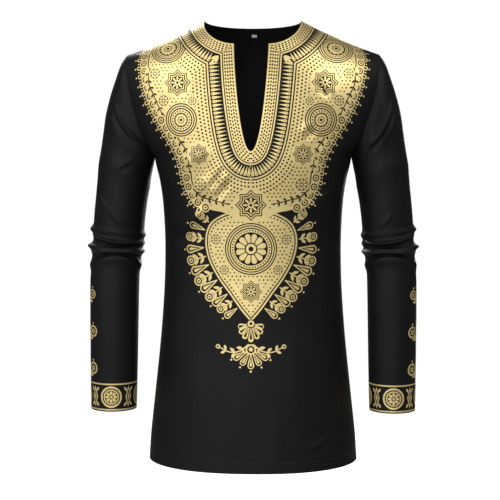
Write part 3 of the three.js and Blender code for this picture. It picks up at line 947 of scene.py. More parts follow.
class Pen:
    """Draws closed shapes on flat cloth, each gold or bare, over what was drawn before."""

    OVERLAP = 0.2  # the boxes of a line reach this far past their ends

    def __init__(self, shapes, at=(0.0, 0.0), turn=0.0):
        self.shapes = shapes
        self.origin = np.asarray(at, float)
        self.turn = turn
        angle = math.radians(turn)
        self.axes = np.array([[math.cos(angle), math.sin(angle)], [-math.sin(angle), math.cos(angle)]])

    def moved(self, at=(0.0, 0.0), turn=0.0):
        """A pen for the same cloth at another place, given on this pen's axes."""
        return Pen(self.shapes, np.asarray(at) @ self.axes + self.origin, self.turn + turn)

    def around(self, count, start=0.0):
        """Pens at the same place, turned by even steps all round."""
        return [self.moved(turn=360 * (i + start) / count) for i in range(count)]

    def draw(self, outline, gold):
        self.shapes.append((np.asarray(outline) @ self.axes + self.origin, gold))

    def line(self, points, width, end_width=None, gold=True):
        """A band of even or tapering width, one box for each step, so that no outline crosses itself."""
        lane = Lane(points)
        widths = np.interp(lane.run, [0, lane.length], [width, end_width or width])
        for start, end, wide in zip(lane.points, lane.points[1:], widths):
            run = end - start
            length = np.linalg.norm(run)
            near, far = -self.OVERLAP, length + self.OVERLAP
            box = [(near, -wide / 2), (far, -wide / 2), (far, wide / 2), (near, wide / 2)]
            self.moved(start, math.degrees(math.atan2(run[1], run[0]))).draw(box, gold)

    def gold(self, outline):
        self.draw(outline, True)

    def bare(self, outline):
        self.draw(outline, False)

    def nested(self, outlines, gold=True):
        """Outlines one in another, gold and bare by turns."""
        for outline in outlines:
            self.draw(outline, gold)
            gold = not gold

    def rings(self, radii, gold=True):
        self.nested(map(circle, radii), gold)


# ---- Motifs ----
def eye(pen, radius):
    """Rings one in another round a dot."""
    pen.rings(np.multiply(radius, (1, 0.72, 0.46, 0.2)))


def rosette(pen, radius, petals=12):
    """A ringed flower inside a beaded rim, on plain gold."""
    pen.rings(np.add(radius, (10.6, 8.4, 6.2, 4.2, 2.2, 0, -2.2)))
    rim = radius - 5.2
    for spoke in pen.around(round(2 * math.pi * rim / 5.2), 0.5):
        spoke.bare(circle(1.5) + [rim, 0])
    pen.bare(circle(radius - 8.2))
    width = 2 * math.pi * 0.62 * radius / petals * 0.8
    for spoke in pen.around(petals, 0.5):
        spoke.gold(petal(radius * 0.97 - 12.6, width) + [3, 0])
    pen.rings(np.multiply(radius, (0.3, 0.24, 0.12)), gold=False)


def star_medallion(pen, radius):
    """Eight-pointed stars one in another, with a small flower at the middle."""
    pen.gold(circle(radius + 3.5))
    pen.nested([star(radius * share, 8, 0.765) for share in (1, 0.91, 0.81, 0.7, 0.61)], gold=False)
    for spoke in pen.around(8):
        spoke.gold(lens(radius * 0.4, radius * 0.15) + [radius * 0.14, 0])
    pen.rings(np.multiply(radius, (0.19, 0.1)))


def small_flower(pen, radius, petals=8):
    pen.rings((radius + 3, radius))
    width = 2 * math.pi * 0.7 * radius / petals * 0.82
    for spoke in pen.moved(turn=90).around(petals):
        spoke.gold(petal(radius * 0.74, width) + [radius * 0.18, 0])
    pen.rings(np.multiply(radius, (0.32, 0.22)), gold=False)


def palmette(pen, reach, count=7, spread=150.0):
    """A fan of petals that opens along +s."""
    for i in range(count):
        turn = spread * (i / (count - 1) - 0.5)
        length = reach * (1 - 0.32 * abs(turn) / (spread / 2))
        pen.moved(turn=turn).nested([
            petal(length, reach * 0.34) + [reach * 0.14, 0],
            petal(length * 0.62, reach * 0.15) + [reach * 0.36, 0],
        ])
    pen.rings(np.multiply(reach, (0.27, 0.21, 0.09)), gold=False)


Vine = namedtuple("Vine", "stem leaves leaf_length end_radius")


def vine(pen, spray, gold=True):
    """A curved stem with pairs of leaves, ending in a berry."""
    lane = Lane(curve(spray.stem))
    pen.line(lane.points, 2.6, 1.8, gold)
    for i in range(spray.leaves):
        share = (i + 0.7) / (spray.leaves + 0.5)
        at, turn = lane.at(share * lane.length)
        length = spray.leaf_length * (1 - 0.25 * share)
        for side in (1, -1):
            pen.moved(at, turn + side * 48).draw(lens(length, length * 0.48) + [1.0, 0], gold)
    at, turn = lane.at(lane.length)
    pen.moved(at, turn).draw(circle(spray.end_radius) + [spray.end_radius * 0.8, 0], gold)


def feather(pen, length):
    """A long petal with an open middle, along +s."""
    width = length * 0.4
    pen.nested([
        petal(length, width),
        petal(length * 0.74, width * 0.66) + [length * 0.2, 0],
        petal(length * 0.48, width * 0.34) + [length * 0.36, 0],
    ])
    pen.gold(circle(1.9) + [length + 4.2, 0])


def budded_stem(pen, length):
    """A straight stem with two pairs of leaves and a ringed bud, along +s."""
    pen.line([(-2, 0), (length * 0.8, 0)], 2.2)
    for share in (0.16, 0.44):
        for side in (1, -1):
            leaf = pen.moved((length * share, 0), side * 42)
            leaf.gold(lens(length * 0.34, length * 0.14) + [0.8, 0])
    eye(pen.moved((length * 0.84, 0)), length * 0.22)


# ---- The front's ornament, drawn for its left half ----
EDGE_BARE = 0.7  # width of cloth left bare along the neck
# Bands round the neck, by their distance from its edge.
LATTICE = (2.6, 20.0)
LATTICE_RULE = (22.4, 24.8)
PETAL_BAND = (27.0, 45.0)
OUTER_RULE = (47.2, 49.8)
GROUND = 52.2
BEAD_LANES = (56.4, 63.2, 70.0, 76.8)
# What fills them.
LATTICE_ROWS = (0.14, 0.38, 0.62, 0.86)  # shares of the lattice's width
LATTICE_SPACING = 6.2
PETAL_SPACING, PETAL_WIDTH = 6.9, 5.3
BEAD_SPACING, BEAD = 6.4, 1.85  # from bead to bead, and a bead's radius

# Outline of the gold ground, from the middle below the slit out to the armhole and up past the shoulder.
GROUND_EDGE = [
    (0, -354), (26, -352), (50, -343), (74, -338), (98, -323), (113, -296), (118, -262), (130, -228),
    (152, -194), (175, -158), (192, -114), (199, -72), (194, -38), (181, -14), (172, 8), (170, 60),
]
LACE_FROM = 3  # the lace starts at this point of the outline
LACE_SPACING = 16.5
# Outline of the pendant panel below it.
PENDANT_EDGE = [
    (0, -538), (18, -517), (38, -489), (60, -459), (77, -427), (83, -394), (75, -366), (54, -349),
    (26, -340), (0, -338),
]
FRINGE_SPACING = 15.4
FRINGE_FROM, FRINGE_TO = 34.0, 202.0  # the run of the pendant's edge that carries the fringe

# Motifs set on the ground and the pendant: what draws each, its flat place and its radius.
Motif = namedtuple("Motif", "draw s t size")
MOTIFS = [
    Motif(rosette, 152, -42, 26),
    Motif(star_medallion, 131, -114, 25),
    Motif(rosette, 124, -180, 21),
    Motif(star_medallion, 92, -240, 19),
    Motif(small_flower, 175, -96, 10),
    Motif(small_flower, 157, -146, 9.5),
    Motif(small_flower, 103, -147, 7.5),
    Motif(small_flower, 150, 6, 8.5),
    Motif(small_flower, 90, -294, 11),
    Motif(star_medallion, 0, -330, 28),
    Motif(rosette, 0, -408, 38),
    Motif(star_medallion, 0, -484, 20),
    Motif(small_flower, 63, -392, 9),
    Motif(small_flower, 48, -446, 8.5),
]

# Vines left bare in the gold ground.
VINES = [
    Vine([(186, -84), (188, -112), (177, -136), (161, -168)], 6, 9, 2.0),
    Vine([(147, -184), (129, -214), (115, -236), (110, -270)], 6, 9.5, 2.0),
    Vine([(104, -302), (88, -316), (66, -322), (42, -328)], 5, 9.5, 2.0),
]


def neck_line():
    """The slit and the neckline on flat cloth, each as a lane that runs up and out."""
    flat = flat_front()
    steps = np.concatenate([1 + np.linspace(0, 1, 18) ** 1.6, np.linspace(2, 8, 30)[1:]])
    slit = flat.flat(*inner_edge(FRONT, steps))
    neck = flat.flat(*inner_edge(FRONT, np.linspace(8, 12, 60)))
    beyond = neck[-1] + (neck[-1] - neck[-2]) * np.arange(1, 4)[:, None] * 12
    return Lane(slit), Lane(np.concatenate([neck, beyond]))


def neck_lanes(distance):
    """The slit and neck lines moved into the cloth by a distance, up to and from their mitre."""
    slit, neck = (lane.beside(distance).points for lane in neck_line())
    top = slit[-1] + (slit[-1] - slit[-2])
    i, j, corner = crossing(np.concatenate([slit, [top]]), neck)
    return Lane(np.concatenate([slit[: i + 1], [corner]])), Lane(np.concatenate([[corner], neck[j + 1 :]]))


def neck_outline(distance):
    """Both lines as one."""
    slit, neck = neck_lanes(distance)
    return np.concatenate([slit.points, neck.points[1:]])


def neck_band(pen, near, far, gold=True):
    outline = np.concatenate([neck_outline(near), neck_outline(far)[::-1]])
    pen.draw(outline, gold)


def draw_neck_bands(pen):
    """A lattice, two rules and a row of petals round the slit and neck, on bare cloth."""
    neck_band(pen, 0, GROUND, gold=False)
    neck_band(pen, EDGE_BARE, LATTICE[1] + 0.4)
    neck_band(pen, *LATTICE_RULE)
    neck_band(pen, *OUTER_RULE)
    low, high = LATTICE
    for row, share in enumerate(LATTICE_ROWS):
        for lane in neck_lanes(mix(low, high, share)):
            for at, turn in lane.spots(LATTICE_SPACING, 0.25 + 0.5 * (row % 2)):
                pen.moved(at, turn).bare(lozenge(4.9, 3.8))
    near, far = PETAL_BAND
    for lane in neck_lanes(far):
        for at, turn in lane.spots(PETAL_SPACING):
            root = pen.moved(at, turn - 90).moved((near - far, 0))
            root.gold(petal(far - near, PETAL_WIDTH))
            root.bare(circle(0.95) + [far - near - 2.9, 0])
    corner = neck_lanes(near)[0].points[-1]
    for turn, length in ((-66, 16), (-45, 24), (-24, 16)):
        pen.moved(corner, turn).gold(lens(length, 4.6) + [1.5, 0])


def draw_lace(pen, lane):
    """Scallops along the ground's edge, with a petal and a berry outside each gap between two."""
    for at, turn in lane.spots(LACE_SPACING, 0.0)[1:]:
        outward = pen.moved(at, turn - 90)
        outward.nested([petal(15.5, 8.6) + [1.5, 0], petal(8.4, 4.4) + [6.4, 0]])
        outward.gold(circle(1.8) + [20.6, 0])
    for at, turn in lane.spots(LACE_SPACING):
        outward = pen.moved(at, turn - 90)
        outward.gold(circle(8.8) + [1.4, 0])
        outward.gold(circle(1.6) + [13.4, 0])


def draw_ground(pen):
    """The gold ground of the chest, ringed dots along its edge, and the lace beside it."""
    edge = curve(GROUND_EDGE)
    lace = Lane(curve(GROUND_EDGE[LACE_FROM:]))
    draw_lace(pen, lace)
    pen.gold(np.concatenate([edge, [(0, edge[-1][1])]]))
    for at, turn in lace.spots(LACE_SPACING):
        pen.moved(at, turn - 90).moved((1.2, 0)).rings((6.4, 4.2, 1.9), gold=False)
    pen.line(lace.beside(-8.6).points, 2.2, gold=False)


def draw_pendant(pen):
    """The panel below the ground, with a fringe of feathers and buds."""
    field = Lane(curve(PENDANT_EDGE))
    count = round((FRINGE_TO - FRINGE_FROM) / FRINGE_SPACING)
    for i in range(count + 1):
        at, turn = field.at(mix(FRINGE_FROM, FRINGE_TO, i / count))
        reach = 26 + 16 * math.sin(math.pi * (0.1 + 0.78 * i / count))
        (budded_stem if i % 2 else feather)(pen.moved(at, turn - 90), reach)
    pen.line(field.beside(1.6).points, 3.2, gold=False)
    pen.gold(field.points)
    pen.line(field.beside(-4.2).points, 2.2, gold=False)
    for at, _ in field.beside(-9.4).spots(6.6):
        pen.moved(at).bare(circle(1.6))


DOT_STEP, DOT = 7.4, 1.55  # from dot to dot, and a dot's radius


def draw_dots(pen, outline):
    """Small bare dots inside an outline, on a staggered grid."""
    low, high = outline.min(axis=0), outline.max(axis=0)
    rows = np.arange(low[1], high[1], DOT_STEP * math.sqrt(0.75))
    grid = np.array([
        (s + DOT_STEP / 2 * (i % 2), t) for i, t in enumerate(rows) for s in np.arange(0, high[0], DOT_STEP)
    ])
    for at in grid[inside(grid, outline)]:
        pen.moved(at).bare(circle(DOT))


def draw_fill(pen):
    """Dots over the open ground and the pendant."""
    edge = Lane(curve(GROUND_EDGE)).beside(-13).points
    draw_dots(pen, np.concatenate([edge, [(0, edge[-1][1])]]))
    field = Lane(curve(PENDANT_EDGE)).beside(-16).points
    draw_dots(pen, np.concatenate([[(0, field[0][1])], field, [(0, field[-1][1])]]))


def draw_tail(pen):
    """A fan with wide side sprays, hung below the pendant."""
    palmette(pen.moved((0, -541), -90), 29)
    vine(pen, Vine([(4, -578), (20, -590), (38, -592), (56, -584)], 3, 13, 4.2), gold=True)
    pen.bare(circle(1.9) + [59.4, -582.6])
    for turn, length in ((-90, 30), (-58, 28), (-27, 31)):
        feather(pen.moved((0, -588), turn).moved((4, 0)), length)
    pen.moved((0, -587)).rings((9.5, 6.6, 3.8))


def front_shapes():
    """Everything drawn on the left half of the front, from the lowest layer to the top one."""
    shapes = []
    pen = Pen(shapes)
    draw_pendant(pen)
    draw_ground(pen)
    draw_fill(pen)
    for spray in VINES:
        pen.line(curve(spray.stem), spray.leaf_length * 1.9)
        vine(pen, spray, gold=False)
    neck_band(pen, GROUND - 0.2, BEAD_LANES[-1] + 3)
    for distance in BEAD_LANES:
        for lane in neck_lanes(distance):
            for at, _ in lane.spots(BEAD_SPACING):
                pen.moved(at).bare(circle(BEAD))
    for motif in MOTIFS:
        motif.draw(pen.moved((motif.s, motif.t)), motif.size)
    draw_tail(pen)
    draw_neck_bands(pen)
    return shapes


PRINT_LOW = -640.0  # no print lies below this height
SHOULDER_BARE, ARMHOLE_BARE = 0.9, 1.0  # widths of cloth left bare along the seams


def front_region():
    """Outlines that the print must lie in: the panel inside its seams, and the cloth round the neck."""
    flat = flat_front()
    x = np.concatenate([np.linspace(0, 225, 70), [SHOULDER_POINT[0] - 0.6]])
    top = flat.flat(x, shoulder_z(x)) - [0, SHOULDER_BARE]
    z = np.linspace(SHOULDER_POINT[1], ARMPIT[1], 40)
    side = flat.flat(edge_x(z), z) - [ARMHOLE_BARE, 0]
    low = flat.flat(0, PRINT_LOW)[1]
    panel = np.concatenate([[(0, low)], top, side, [(150, -300), (150, low)]])
    neck = neck_outline(EDGE_BARE)
    cloth = np.concatenate([[(0, low - 5)], neck, [(300, neck[-1][1]), (300, low - 5)]])
    return [panel, cloth]


# ---- Cutting the foil ----
FOIL_GRID = 4.2  # spacing of the points inside the foil, by which it bends with the cloth
FOIL_EDGE = 6.0  # longest edge of the foil's outlines
FOIL_MERGE = 0.004  # points closer than this are one
FOIL_MIDDLE = 0.01  # points this close to the middle line lie on it


def split_long(outline):
    """The outline with points added along its long edges, so that the foil can bend with the cloth."""
    ahead = np.roll(outline, -1, axis=0)
    parts = []
    for start, end in zip(outline, ahead):
        count = math.ceil(math.dist(start, end) / FOIL_EDGE)
        parts.append(mix(start, end, np.arange(count)[:, None] / count))
    return np.concatenate(parts)


def cut_foil(shapes, regions):
    """Flat points and triangles of the gold: where shapes overlap, the last one drawn shows."""
    outlines = regions + [outline for outline, _ in shapes]
    points, faces = [], []
    for outline in map(split_long, outlines):
        ahead = np.roll(outline, -1, axis=0)
        area = np.sum(outline[:, 0] * ahead[:, 1] - outline[:, 1] * ahead[:, 0])
        if area < 0:
            outline = outline[::-1]
        faces.append(list(range(len(points), len(points) + len(outline))))
        points.extend(outline.tolist())
    low, high = regions[0].min(axis=0), regions[0].max(axis=0)
    rows = np.arange(low[1], high[1], FOIL_GRID)
    points.extend(
        [s + FOIL_GRID / 2 * (i % 2), t]
        for i, t in enumerate(rows.tolist())
        for s in np.arange(low[0] + FOIL_GRID / 4, high[0], FOIL_GRID).tolist()
    )
    made, _, triangles, _, _, origins = delaunay_2d_cdt(
        [Vector(point) for point in points], [], faces, 0, FOIL_MERGE, True,
    )
    count = len(regions)
    kept = [
        triangle for triangle, on in zip(triangles, origins)
        if sum(i < count for i in on) == count and max(on) >= count and shapes[max(on) - count][1]
    ]
    used, order = np.unique(np.array(kept), return_inverse=True)
    return np.array([made[i] for i in used]), order.reshape(-1, 3)


def foil_on_front():
    """The half that is drawn, bent round the left of the front and mirrored round the right.

    Each hand follows its own folds, and the two share their points on the middle line.
    """
    flat_points, triangles = cut_foil(front_shapes(), front_region())
    x, z = flat_front().bent(flat_points)
    middle = flat_points[:, 0] < FOIL_MIDDLE
    x[middle] = 0
    points = []
    for hand in (1, -1):
        surface, normal = surface_frame(
            lambda a, b: body_point(FRONT, a, np.minimum(b, shoulder_z(a))), hand * x, z,
        )
        lifted = surface + sizes().foil_lift / MM * normal
        lifted[middle, 0] = 0
        points.append(lifted)
    count = len(x)
    twin = np.where(middle, np.arange(count), np.arange(count) + count)
    faces = np.concatenate([triangles, twin[triangles][:, ::-1]])
    used, order = np.unique(faces, return_inverse=True)
    uv = np.concatenate([flat_points, flat_points * [-1, 1]])
    return np.concatenate(points)[used], order.reshape(-1, 3), uv[used]


# ---- The sleeve's ornament ----
CUFF_RULES = (3.6, 50.4)  # heights of the border's rules above the cuff
CUFF_REPEATS = 4
SLEEVE_COLUMN_FOOT, SLEEVE_COLUMN_TOP = 54.0, 222.0  # heights of its stem above the cuff
SLEEVE_COLUMN_AT = 12.0  # the column lies this far forward of the outer edge
SLEEVE_PRINT_LOW, SLEEVE_PRINT_HIGH = 2.4, 230.0
# Ringed buds beside the column: height above the cuff, distance forward of the outer edge, and radius.
SleeveBud = namedtuple("SleeveBud", "t s size")
SLEEVE_BUDS = [
    SleeveBud(78, 27, 11.5),
    SleeveBud(104, -3, 9.5),
    SleeveBud(146, 27, 11.0),
    SleeveBud(174, -2, 8.5),
    SleeveBud(214, 25, 9.0),
]


class FlatSleeve:
    """The lower left sleeve laid flat: s is the distance round it, t the height above the cuff.

    s is 0 at the outer edge and grows towards the front.
    """

    TURNS = 720
    TOP_RING = 11  # the sleeve is laid flat from this ring down
    HEIGHTS = 400

    def __init__(self):
        self.angle = np.linspace(-math.pi, math.pi, self.TURNS + 1)
        last = len(SLEEVE_RINGS) - 1.0
        cuff = Lane(tube_point(np.full(self.TURNS + 1, last), self.angle))
        self.girth = cuff.length
        self.run = cuff.run - np.interp(0, self.angle, cuff.run)
        self.places = np.linspace(self.TOP_RING, last, self.HEIGHTS)
        self.heights = SLEEVE_READ["out_z"](self.places) - CUFF

    def point(self, points):
        """Points of the left sleeve's face at flat places."""
        angle = np.interp(points[:, 0], self.run, self.angle)
        return tube_point(np.interp(-points[:, 1], -self.heights, self.places), angle)

    def lifted(self, points):
        """Points of the sleeve's face with the foil's lift, along the face's normal."""
        step = SLOPE_STEP
        along = self.point(points + [0, step]) - self.point(points - [0, step])
        clipped = [np.clip(points + [side * step, 0], self.run[0], None) for side in (1, -1)]
        around = self.point(clipped[0]) - self.point(clipped[1])
        normal = np.cross(along, around)
        normal /= np.linalg.norm(normal, axis=1, keepdims=True)
        return self.point(points) + sizes().foil_lift / MM * normal


def draw_cuff(pen, girth):
    """A border of ringed flowers and lozenges between two rules."""
    for t in CUFF_RULES:
        pen.line([(-girth, t), (girth, t)], 2.6)
    for i in range(-CUFF_REPEATS // 2, CUFF_REPEATS // 2 + 1):
        middle = pen.moved((i * girth / CUFF_REPEATS, sum(CUFF_RULES) / 2))
        middle.rings((19.6, 16.2, 14.0, 11.6))
        for spoke in middle.around(8):
            spoke.gold(petal(8.6, 5.2) + [2.0, 0])
        middle.rings((3.4, 2.2), gold=False)
        between = middle.moved((girth / CUFF_REPEATS / 2, 0))
        between.nested([lozenge(13, 40), lozenge(8.0, 27), lozenge(4.4, 15)])
        for side, turn in ((1, 58), (1, -58), (-1, 58), (-1, -58)):
            root = (side * 3.4, math.copysign(9.5, turn))
            between.moved(root, 90 - side * 90 + side * turn).gold(lens(10, 4.6))


def draw_bud_column(pen):
    """A stem up the outer side of the sleeve, with ringed buds on either side of it."""
    for t, s, size in SLEEVE_BUDS:
        root = np.array([SLEEVE_COLUMN_AT, t - 22])
        reach = np.array([s, t]) - root
        pen.line(curve([root, root + reach * [0.15, 0.6], root + reach]), 2.6)
        for turn in (64, 116):
            leaf = pen.moved(root + reach * [0.08, 0.36], turn - 60 * math.copysign(1, s - 14))
            leaf.gold(lens(14, 5.6))
        pen.moved((s, t)).rings(np.multiply(size, (1, 0.7, 0.42, 0.16)))
        pen.gold(circle(2.0) + [s, t + size + 3.4])
    pen.line([(SLEEVE_COLUMN_AT, SLEEVE_COLUMN_FOOT), (SLEEVE_COLUMN_AT, SLEEVE_COLUMN_TOP)], 2.2)
    pen.moved((SLEEVE_COLUMN_AT, SLEEVE_COLUMN_TOP - 2), 90).gold(lens(16, 6.4))


def foil_on_sleeve():
    """The left sleeve's foil, bent round its face."""
    flat = FlatSleeve()
    shapes = []
    pen = Pen(shapes)
    draw_cuff(pen, flat.girth)
    draw_bud_column(pen)
    left, right = flat.run[0], flat.run[-1]
    low, high = SLEEVE_PRINT_LOW, SLEEVE_PRINT_HIGH
    region = np.array([(left, low), (right, low), (right, high), (left, high)])
    flat_points, triangles = cut_foil(shapes, [region])
    points = flat.lifted(flat_points)
    return points, triangles, flat_points


# ---- Materials ----
def linear(hex_colour):
    """A colour written as sRGB hex, as the linear values that shaders take."""
    values = [int(hex_colour[i : i + 2], 16) / 255 for i in (1, 3, 5)]
    return [v / 12.92 if v <= 0.04045 else ((v + 0.055) / 1.055) ** 2.4 for v in values]


def tinted(colour, share):
    """A colour made darker or lighter by a share, or by one for each of red, green and blue."""
    return [min(1, value * part) for value, part in zip(colour, np.broadcast_to(share, 3))] + [1]


def set_sockets(tree, node, values=(), links=()):
    """Sets a node's unlinked sockets, and links the others."""
    for socket, value in dict(values).items():
        node.inputs[socket].default_value = value
    for socket, source in dict(links).items():
        tree.links.new(source, node.inputs[socket])


def add_node(tree, kind, settings=(), values=(), links=()):
    """Adds a node, and sets its properties and sockets."""
    made = tree.nodes.new(kind)
    for name, value in dict(settings).items():
        setattr(made, name, value)
    set_sockets(tree, made, values, links)
    return made


def new_material(name):
    material = bpy.data.materials.new(name)
    material.use_nodes = True
    tree = material.node_tree
    return material, tree, tree.nodes["Principled BSDF"]


def band_scale(spacing_mm):
    """Scale that sets a wave texture's bands this far apart on coordinates in metres."""
    return 2 * math.pi / (20 * spacing_mm * MM)


def woven_bump(tree, thread_mm, height, uv):
    """Height of crossing threads, one under the other, as a bump source."""
    wave = band_scale(thread_mm)
    weft = add_node(tree, "ShaderNodeTexWave", {"wave_type": "BANDS", "bands_direction": "X"},
                    {"Scale": wave, "Distortion": 0.4}, {"Vector": uv})
    twill = add_node(tree, "ShaderNodeTexWave", {"wave_type": "BANDS", "bands_direction": "DIAGONAL"},
                     {"Scale": wave, "Distortion": 0.6}, {"Vector": uv})
    both = add_node(tree, "ShaderNodeMath", {"operation": "MULTIPLY_ADD"}, {1: 0.5},
                    {0: weft.outputs["Fac"], 2: twill.outputs["Fac"]})
    return add_node(tree, "ShaderNodeBump", {}, {"Strength": 0.35, "Distance": height * MM},
                    {"Height": both.outputs["Value"]})


CLOTH_NAME = "black_sateen_polycotton"
FOIL_NAME = "gold_transfer_foil"
THREAD_GRID = 1.2  # threads lie 0.3 mm apart; they are drawn this far apart so that they show


def sateen(colour):
    """Polyester-cotton sateen, woven with long floats and calendered: deep black with a soft lustre."""
    material, tree, shader = new_material(CLOTH_NAME)
    uv = add_node(tree, "ShaderNodeUVMap", {"uv_map": "cloth"}).outputs["UV"]
    # Patches about 70 mm across, where the rollers pressed the cloth a little more or less.
    patches = add_node(tree, "ShaderNodeTexNoise", {}, {"Scale": 1 / (71.4 * MM), "Detail": 4.0},
                       {"Vector": uv})
    tone = add_node(tree, "ShaderNodeMix", {"data_type": "RGBA"},
                    {6: tinted(colour, 0.82), 7: tinted(colour, 1.16)}, {0: patches.outputs["Fac"]})
    gloss = add_node(tree, "ShaderNodeMapRange", {}, {"To Min": 0.54, "To Max": 0.62},
                     {"Value": patches.outputs["Fac"]})
    weave = woven_bump(tree, THREAD_GRID, 0.05, uv)
    set_sockets(tree, shader, {"Specular IOR Level": 0.19}, {
        "Base Color": tone.outputs[2],
        "Roughness": gloss.outputs["Result"],
        "Normal": weave.outputs["Normal"],
    })
    return material


FOIL_PAINTED_SHADE = (0.86, 0.8, 0.66)  # red, green and blue of painted shade: darker, browner foil, set in random clouds


def foil(colour):
    """Hot-pressed transfer foil, a metal film glued to cloth: bright, satin, and faintly grained."""
    material, tree, shader = new_material(FOIL_NAME)
    uv = add_node(tree, "ShaderNodeUVMap", {"uv_map": "cloth"}).outputs["UV"]
    # The grain is that of the cloth beneath.
    grain = add_node(tree, "ShaderNodeTexNoise", {}, {"Scale": 1 / (THREAD_GRID * MM), "Detail": 3.0},
                     {"Vector": uv})
    # Clouds about 45 mm across, at random, between painted shade, darker and browner, and a lighter tone.
    cloud = add_node(tree, "ShaderNodeTexNoise", {}, {"Scale": 1 / (45.45 * MM), "Detail": 3.0},
                     {"Vector": uv})
    # The darker, browner end of this mix is painted shade.
    tone = add_node(tree, "ShaderNodeMix", {"data_type": "RGBA"},
                    {6: tinted(colour, FOIL_PAINTED_SHADE), 7: tinted(colour, 1.12)}, {0: cloud.outputs["Fac"]})
    gloss = add_node(tree, "ShaderNodeMapRange", {}, {"To Min": 0.4, "To Max": 0.54},
                     {"Value": grain.outputs["Fac"]})
    bump = add_node(tree, "ShaderNodeBump", {}, {"Strength": 0.3, "Distance": 0.04 * MM},
                    {"Height": grain.outputs["Fac"]})
    set_sockets(tree, shader, {"Metallic": 0.5, "Specular IOR Level": 0.7}, {
        "Base Color": tone.outputs[2],
        "Roughness": gloss.outputs["Result"],
        "Normal": bump.outputs["Normal"],
    })
    return material


# The pale block woven into the label: its middle and half its size, across and along the ribbon.
LABEL_BLOCK = {"X": (0.0, 4.8), "Y": (18.95, 2.95)}


def label_ribbon(colour, block_colour):
    """Woven polyester satin ribbon: fine, even and slightly glossy, with one plain pale block."""
    material, tree, shader = new_material("woven_satin_ribbon")
    uv = add_node(tree, "ShaderNodeUVMap", {"uv_map": "cloth"}).outputs["UV"]
    parts = add_node(tree, "ShaderNodeSeparateXYZ", links={"Vector": uv})
    across, along = (
        add_node(tree, "ShaderNodeMath", {"operation": "COMPARE"}, {1: middle * MM, 2: half * MM},
                 {0: parts.outputs[axis]})
        for axis, (middle, half) in LABEL_BLOCK.items()
    )
    block = add_node(tree, "ShaderNodeMath", {"operation": "MULTIPLY"}, {},
                     {0: across.outputs["Value"], 1: along.outputs["Value"]})
    tone = add_node(tree, "ShaderNodeMix", {"data_type": "RGBA"},
                    {6: tinted(colour, 1), 7: tinted(block_colour, 1)}, {0: block.outputs["Value"]})
    weave = add_node(tree, "ShaderNodeTexWave", {"bands_direction": "Y"},
                     {"Scale": band_scale(0.5)}, {"Vector": uv})
    bump = add_node(tree, "ShaderNodeBump", {}, {"Strength": 0.2, "Distance": 0.03 * MM},
                    {"Height": weave.outputs["Fac"]})
    set_sockets(tree, shader, {"Roughness": 0.42},
                {"Base Color": tone.outputs[2], "Normal": bump.outputs["Normal"]})
    return material


def spun_thread(colour):
    """Spun polyester sewing thread: black and matt, with a little fuzz at its edges."""
    material, tree, shader = new_material("spun_polyester_thread")
    place = add_node(tree, "ShaderNodeTexCoord").outputs["Object"]
    twist = add_node(tree, "ShaderNodeTexNoise", {}, {"Scale": 1 / (0.4 * MM), "Detail": 1.0},
                     {"Vector": place})
    tone = add_node(tree, "ShaderNodeMix", {"data_type": "RGBA"},
                    {6: tinted(colour, 0.7), 7: tinted(colour, 2)}, {0: twist.outputs["Fac"]})
    set_sockets(tree, shader, {"Roughness": 0.7, "Sheen Weight": 0.2}, {"Base Color": tone.outputs[2]})
    return material


# ---- Label and stitches ----
LABEL_HALF = 6.4  # half the ribbon's width
LABEL_LOW, LABEL_HIGH = -36.6, -15.2  # heights between which both its layers hang
LABEL_LAYERS = (1.95, 2.5)  # the two layers' middles, in from the back's outer face
LABEL_THICKNESS = 0.3
LABEL_TURN = 0.45  # the fold at its foot drops this far below its layers
LABEL_COLUMNS = 7
LABEL_ROWS = 12
LABEL_TURN_ROWS = 4


def make_label(name):
    """A short ribbon folded in two, hung from the seam at the back of the neck."""
    near, far = LABEL_LAYERS
    z = np.linspace(LABEL_HIGH, LABEL_LOW, LABEL_ROWS)
    angle = np.linspace(0, math.pi, LABEL_TURN_ROWS + 2)[1:-1]
    offset = np.concatenate([
        np.full(LABEL_ROWS, near), mix(near, far, (1 - np.cos(angle)) / 2), np.full(LABEL_ROWS, far),
    ])
    height = np.concatenate([z, LABEL_LOW - LABEL_TURN * np.sin(angle), z[::-1]])
    grid_x, grid_z = np.meshgrid(np.linspace(-LABEL_HALF, LABEL_HALF, LABEL_COLUMNS), height)
    # On the back this normal points into the tunic.
    point, normal = surface_frame(lambda a, b: body_point(BACK, a, b), grid_x, grid_z)
    points = point + normal * offset[:, None, None]
    ids = np.arange(points[..., 0].size).reshape(points.shape[:2])
    run = mesh_runs(points, 0)[:, LABEL_COLUMNS // 2]
    total = run[-1]
    rise = np.broadcast_to((run - total / 2)[:, None], grid_x.shape)
    uv = np.stack([grid_x, rise], axis=-1).reshape(-1, 2)
    piece = new_mesh(name, points.reshape(-1, 3), grid_quads(ids, False), uv)
    pick(piece)
    bpy.ops.object.modifier_add(type="SOLIDIFY")
    solidify = piece.modifiers[-1]
    solidify.thickness = LABEL_THICKNESS * MM
    solidify.offset = 0
    bpy.ops.object.modifier_apply(modifier=solidify.name)
    finish_piece(piece, label_ribbon(colours().label, colours().label_block))
    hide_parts("neck_label")
    return piece


STITCH_SPACING = 1.25  # from one stitch to the next, in stitch lengths
STITCH_HEIGHT = 0.5  # in stitch widths
STITCH_RISE = 0.2  # how far the middle of a stitch lies above the cloth, in stitch heights
# One stitch, pointed at both ends: places along, across and above the cloth as shares of its size.
STITCH_RINGS = ((-0.5, 0.0), (-0.28, 0.85), (0.28, 0.85), (0.5, 0.0))
STITCH_SIDES = 6
STITCH_POINTS = 2 * STITCH_SIDES + 2
HEM_PATH, CUFF_PATH = 400, 300  # points of the lines that the stitches follow
PATH_ENDS = 0.5  # the lines stop this far from the seams


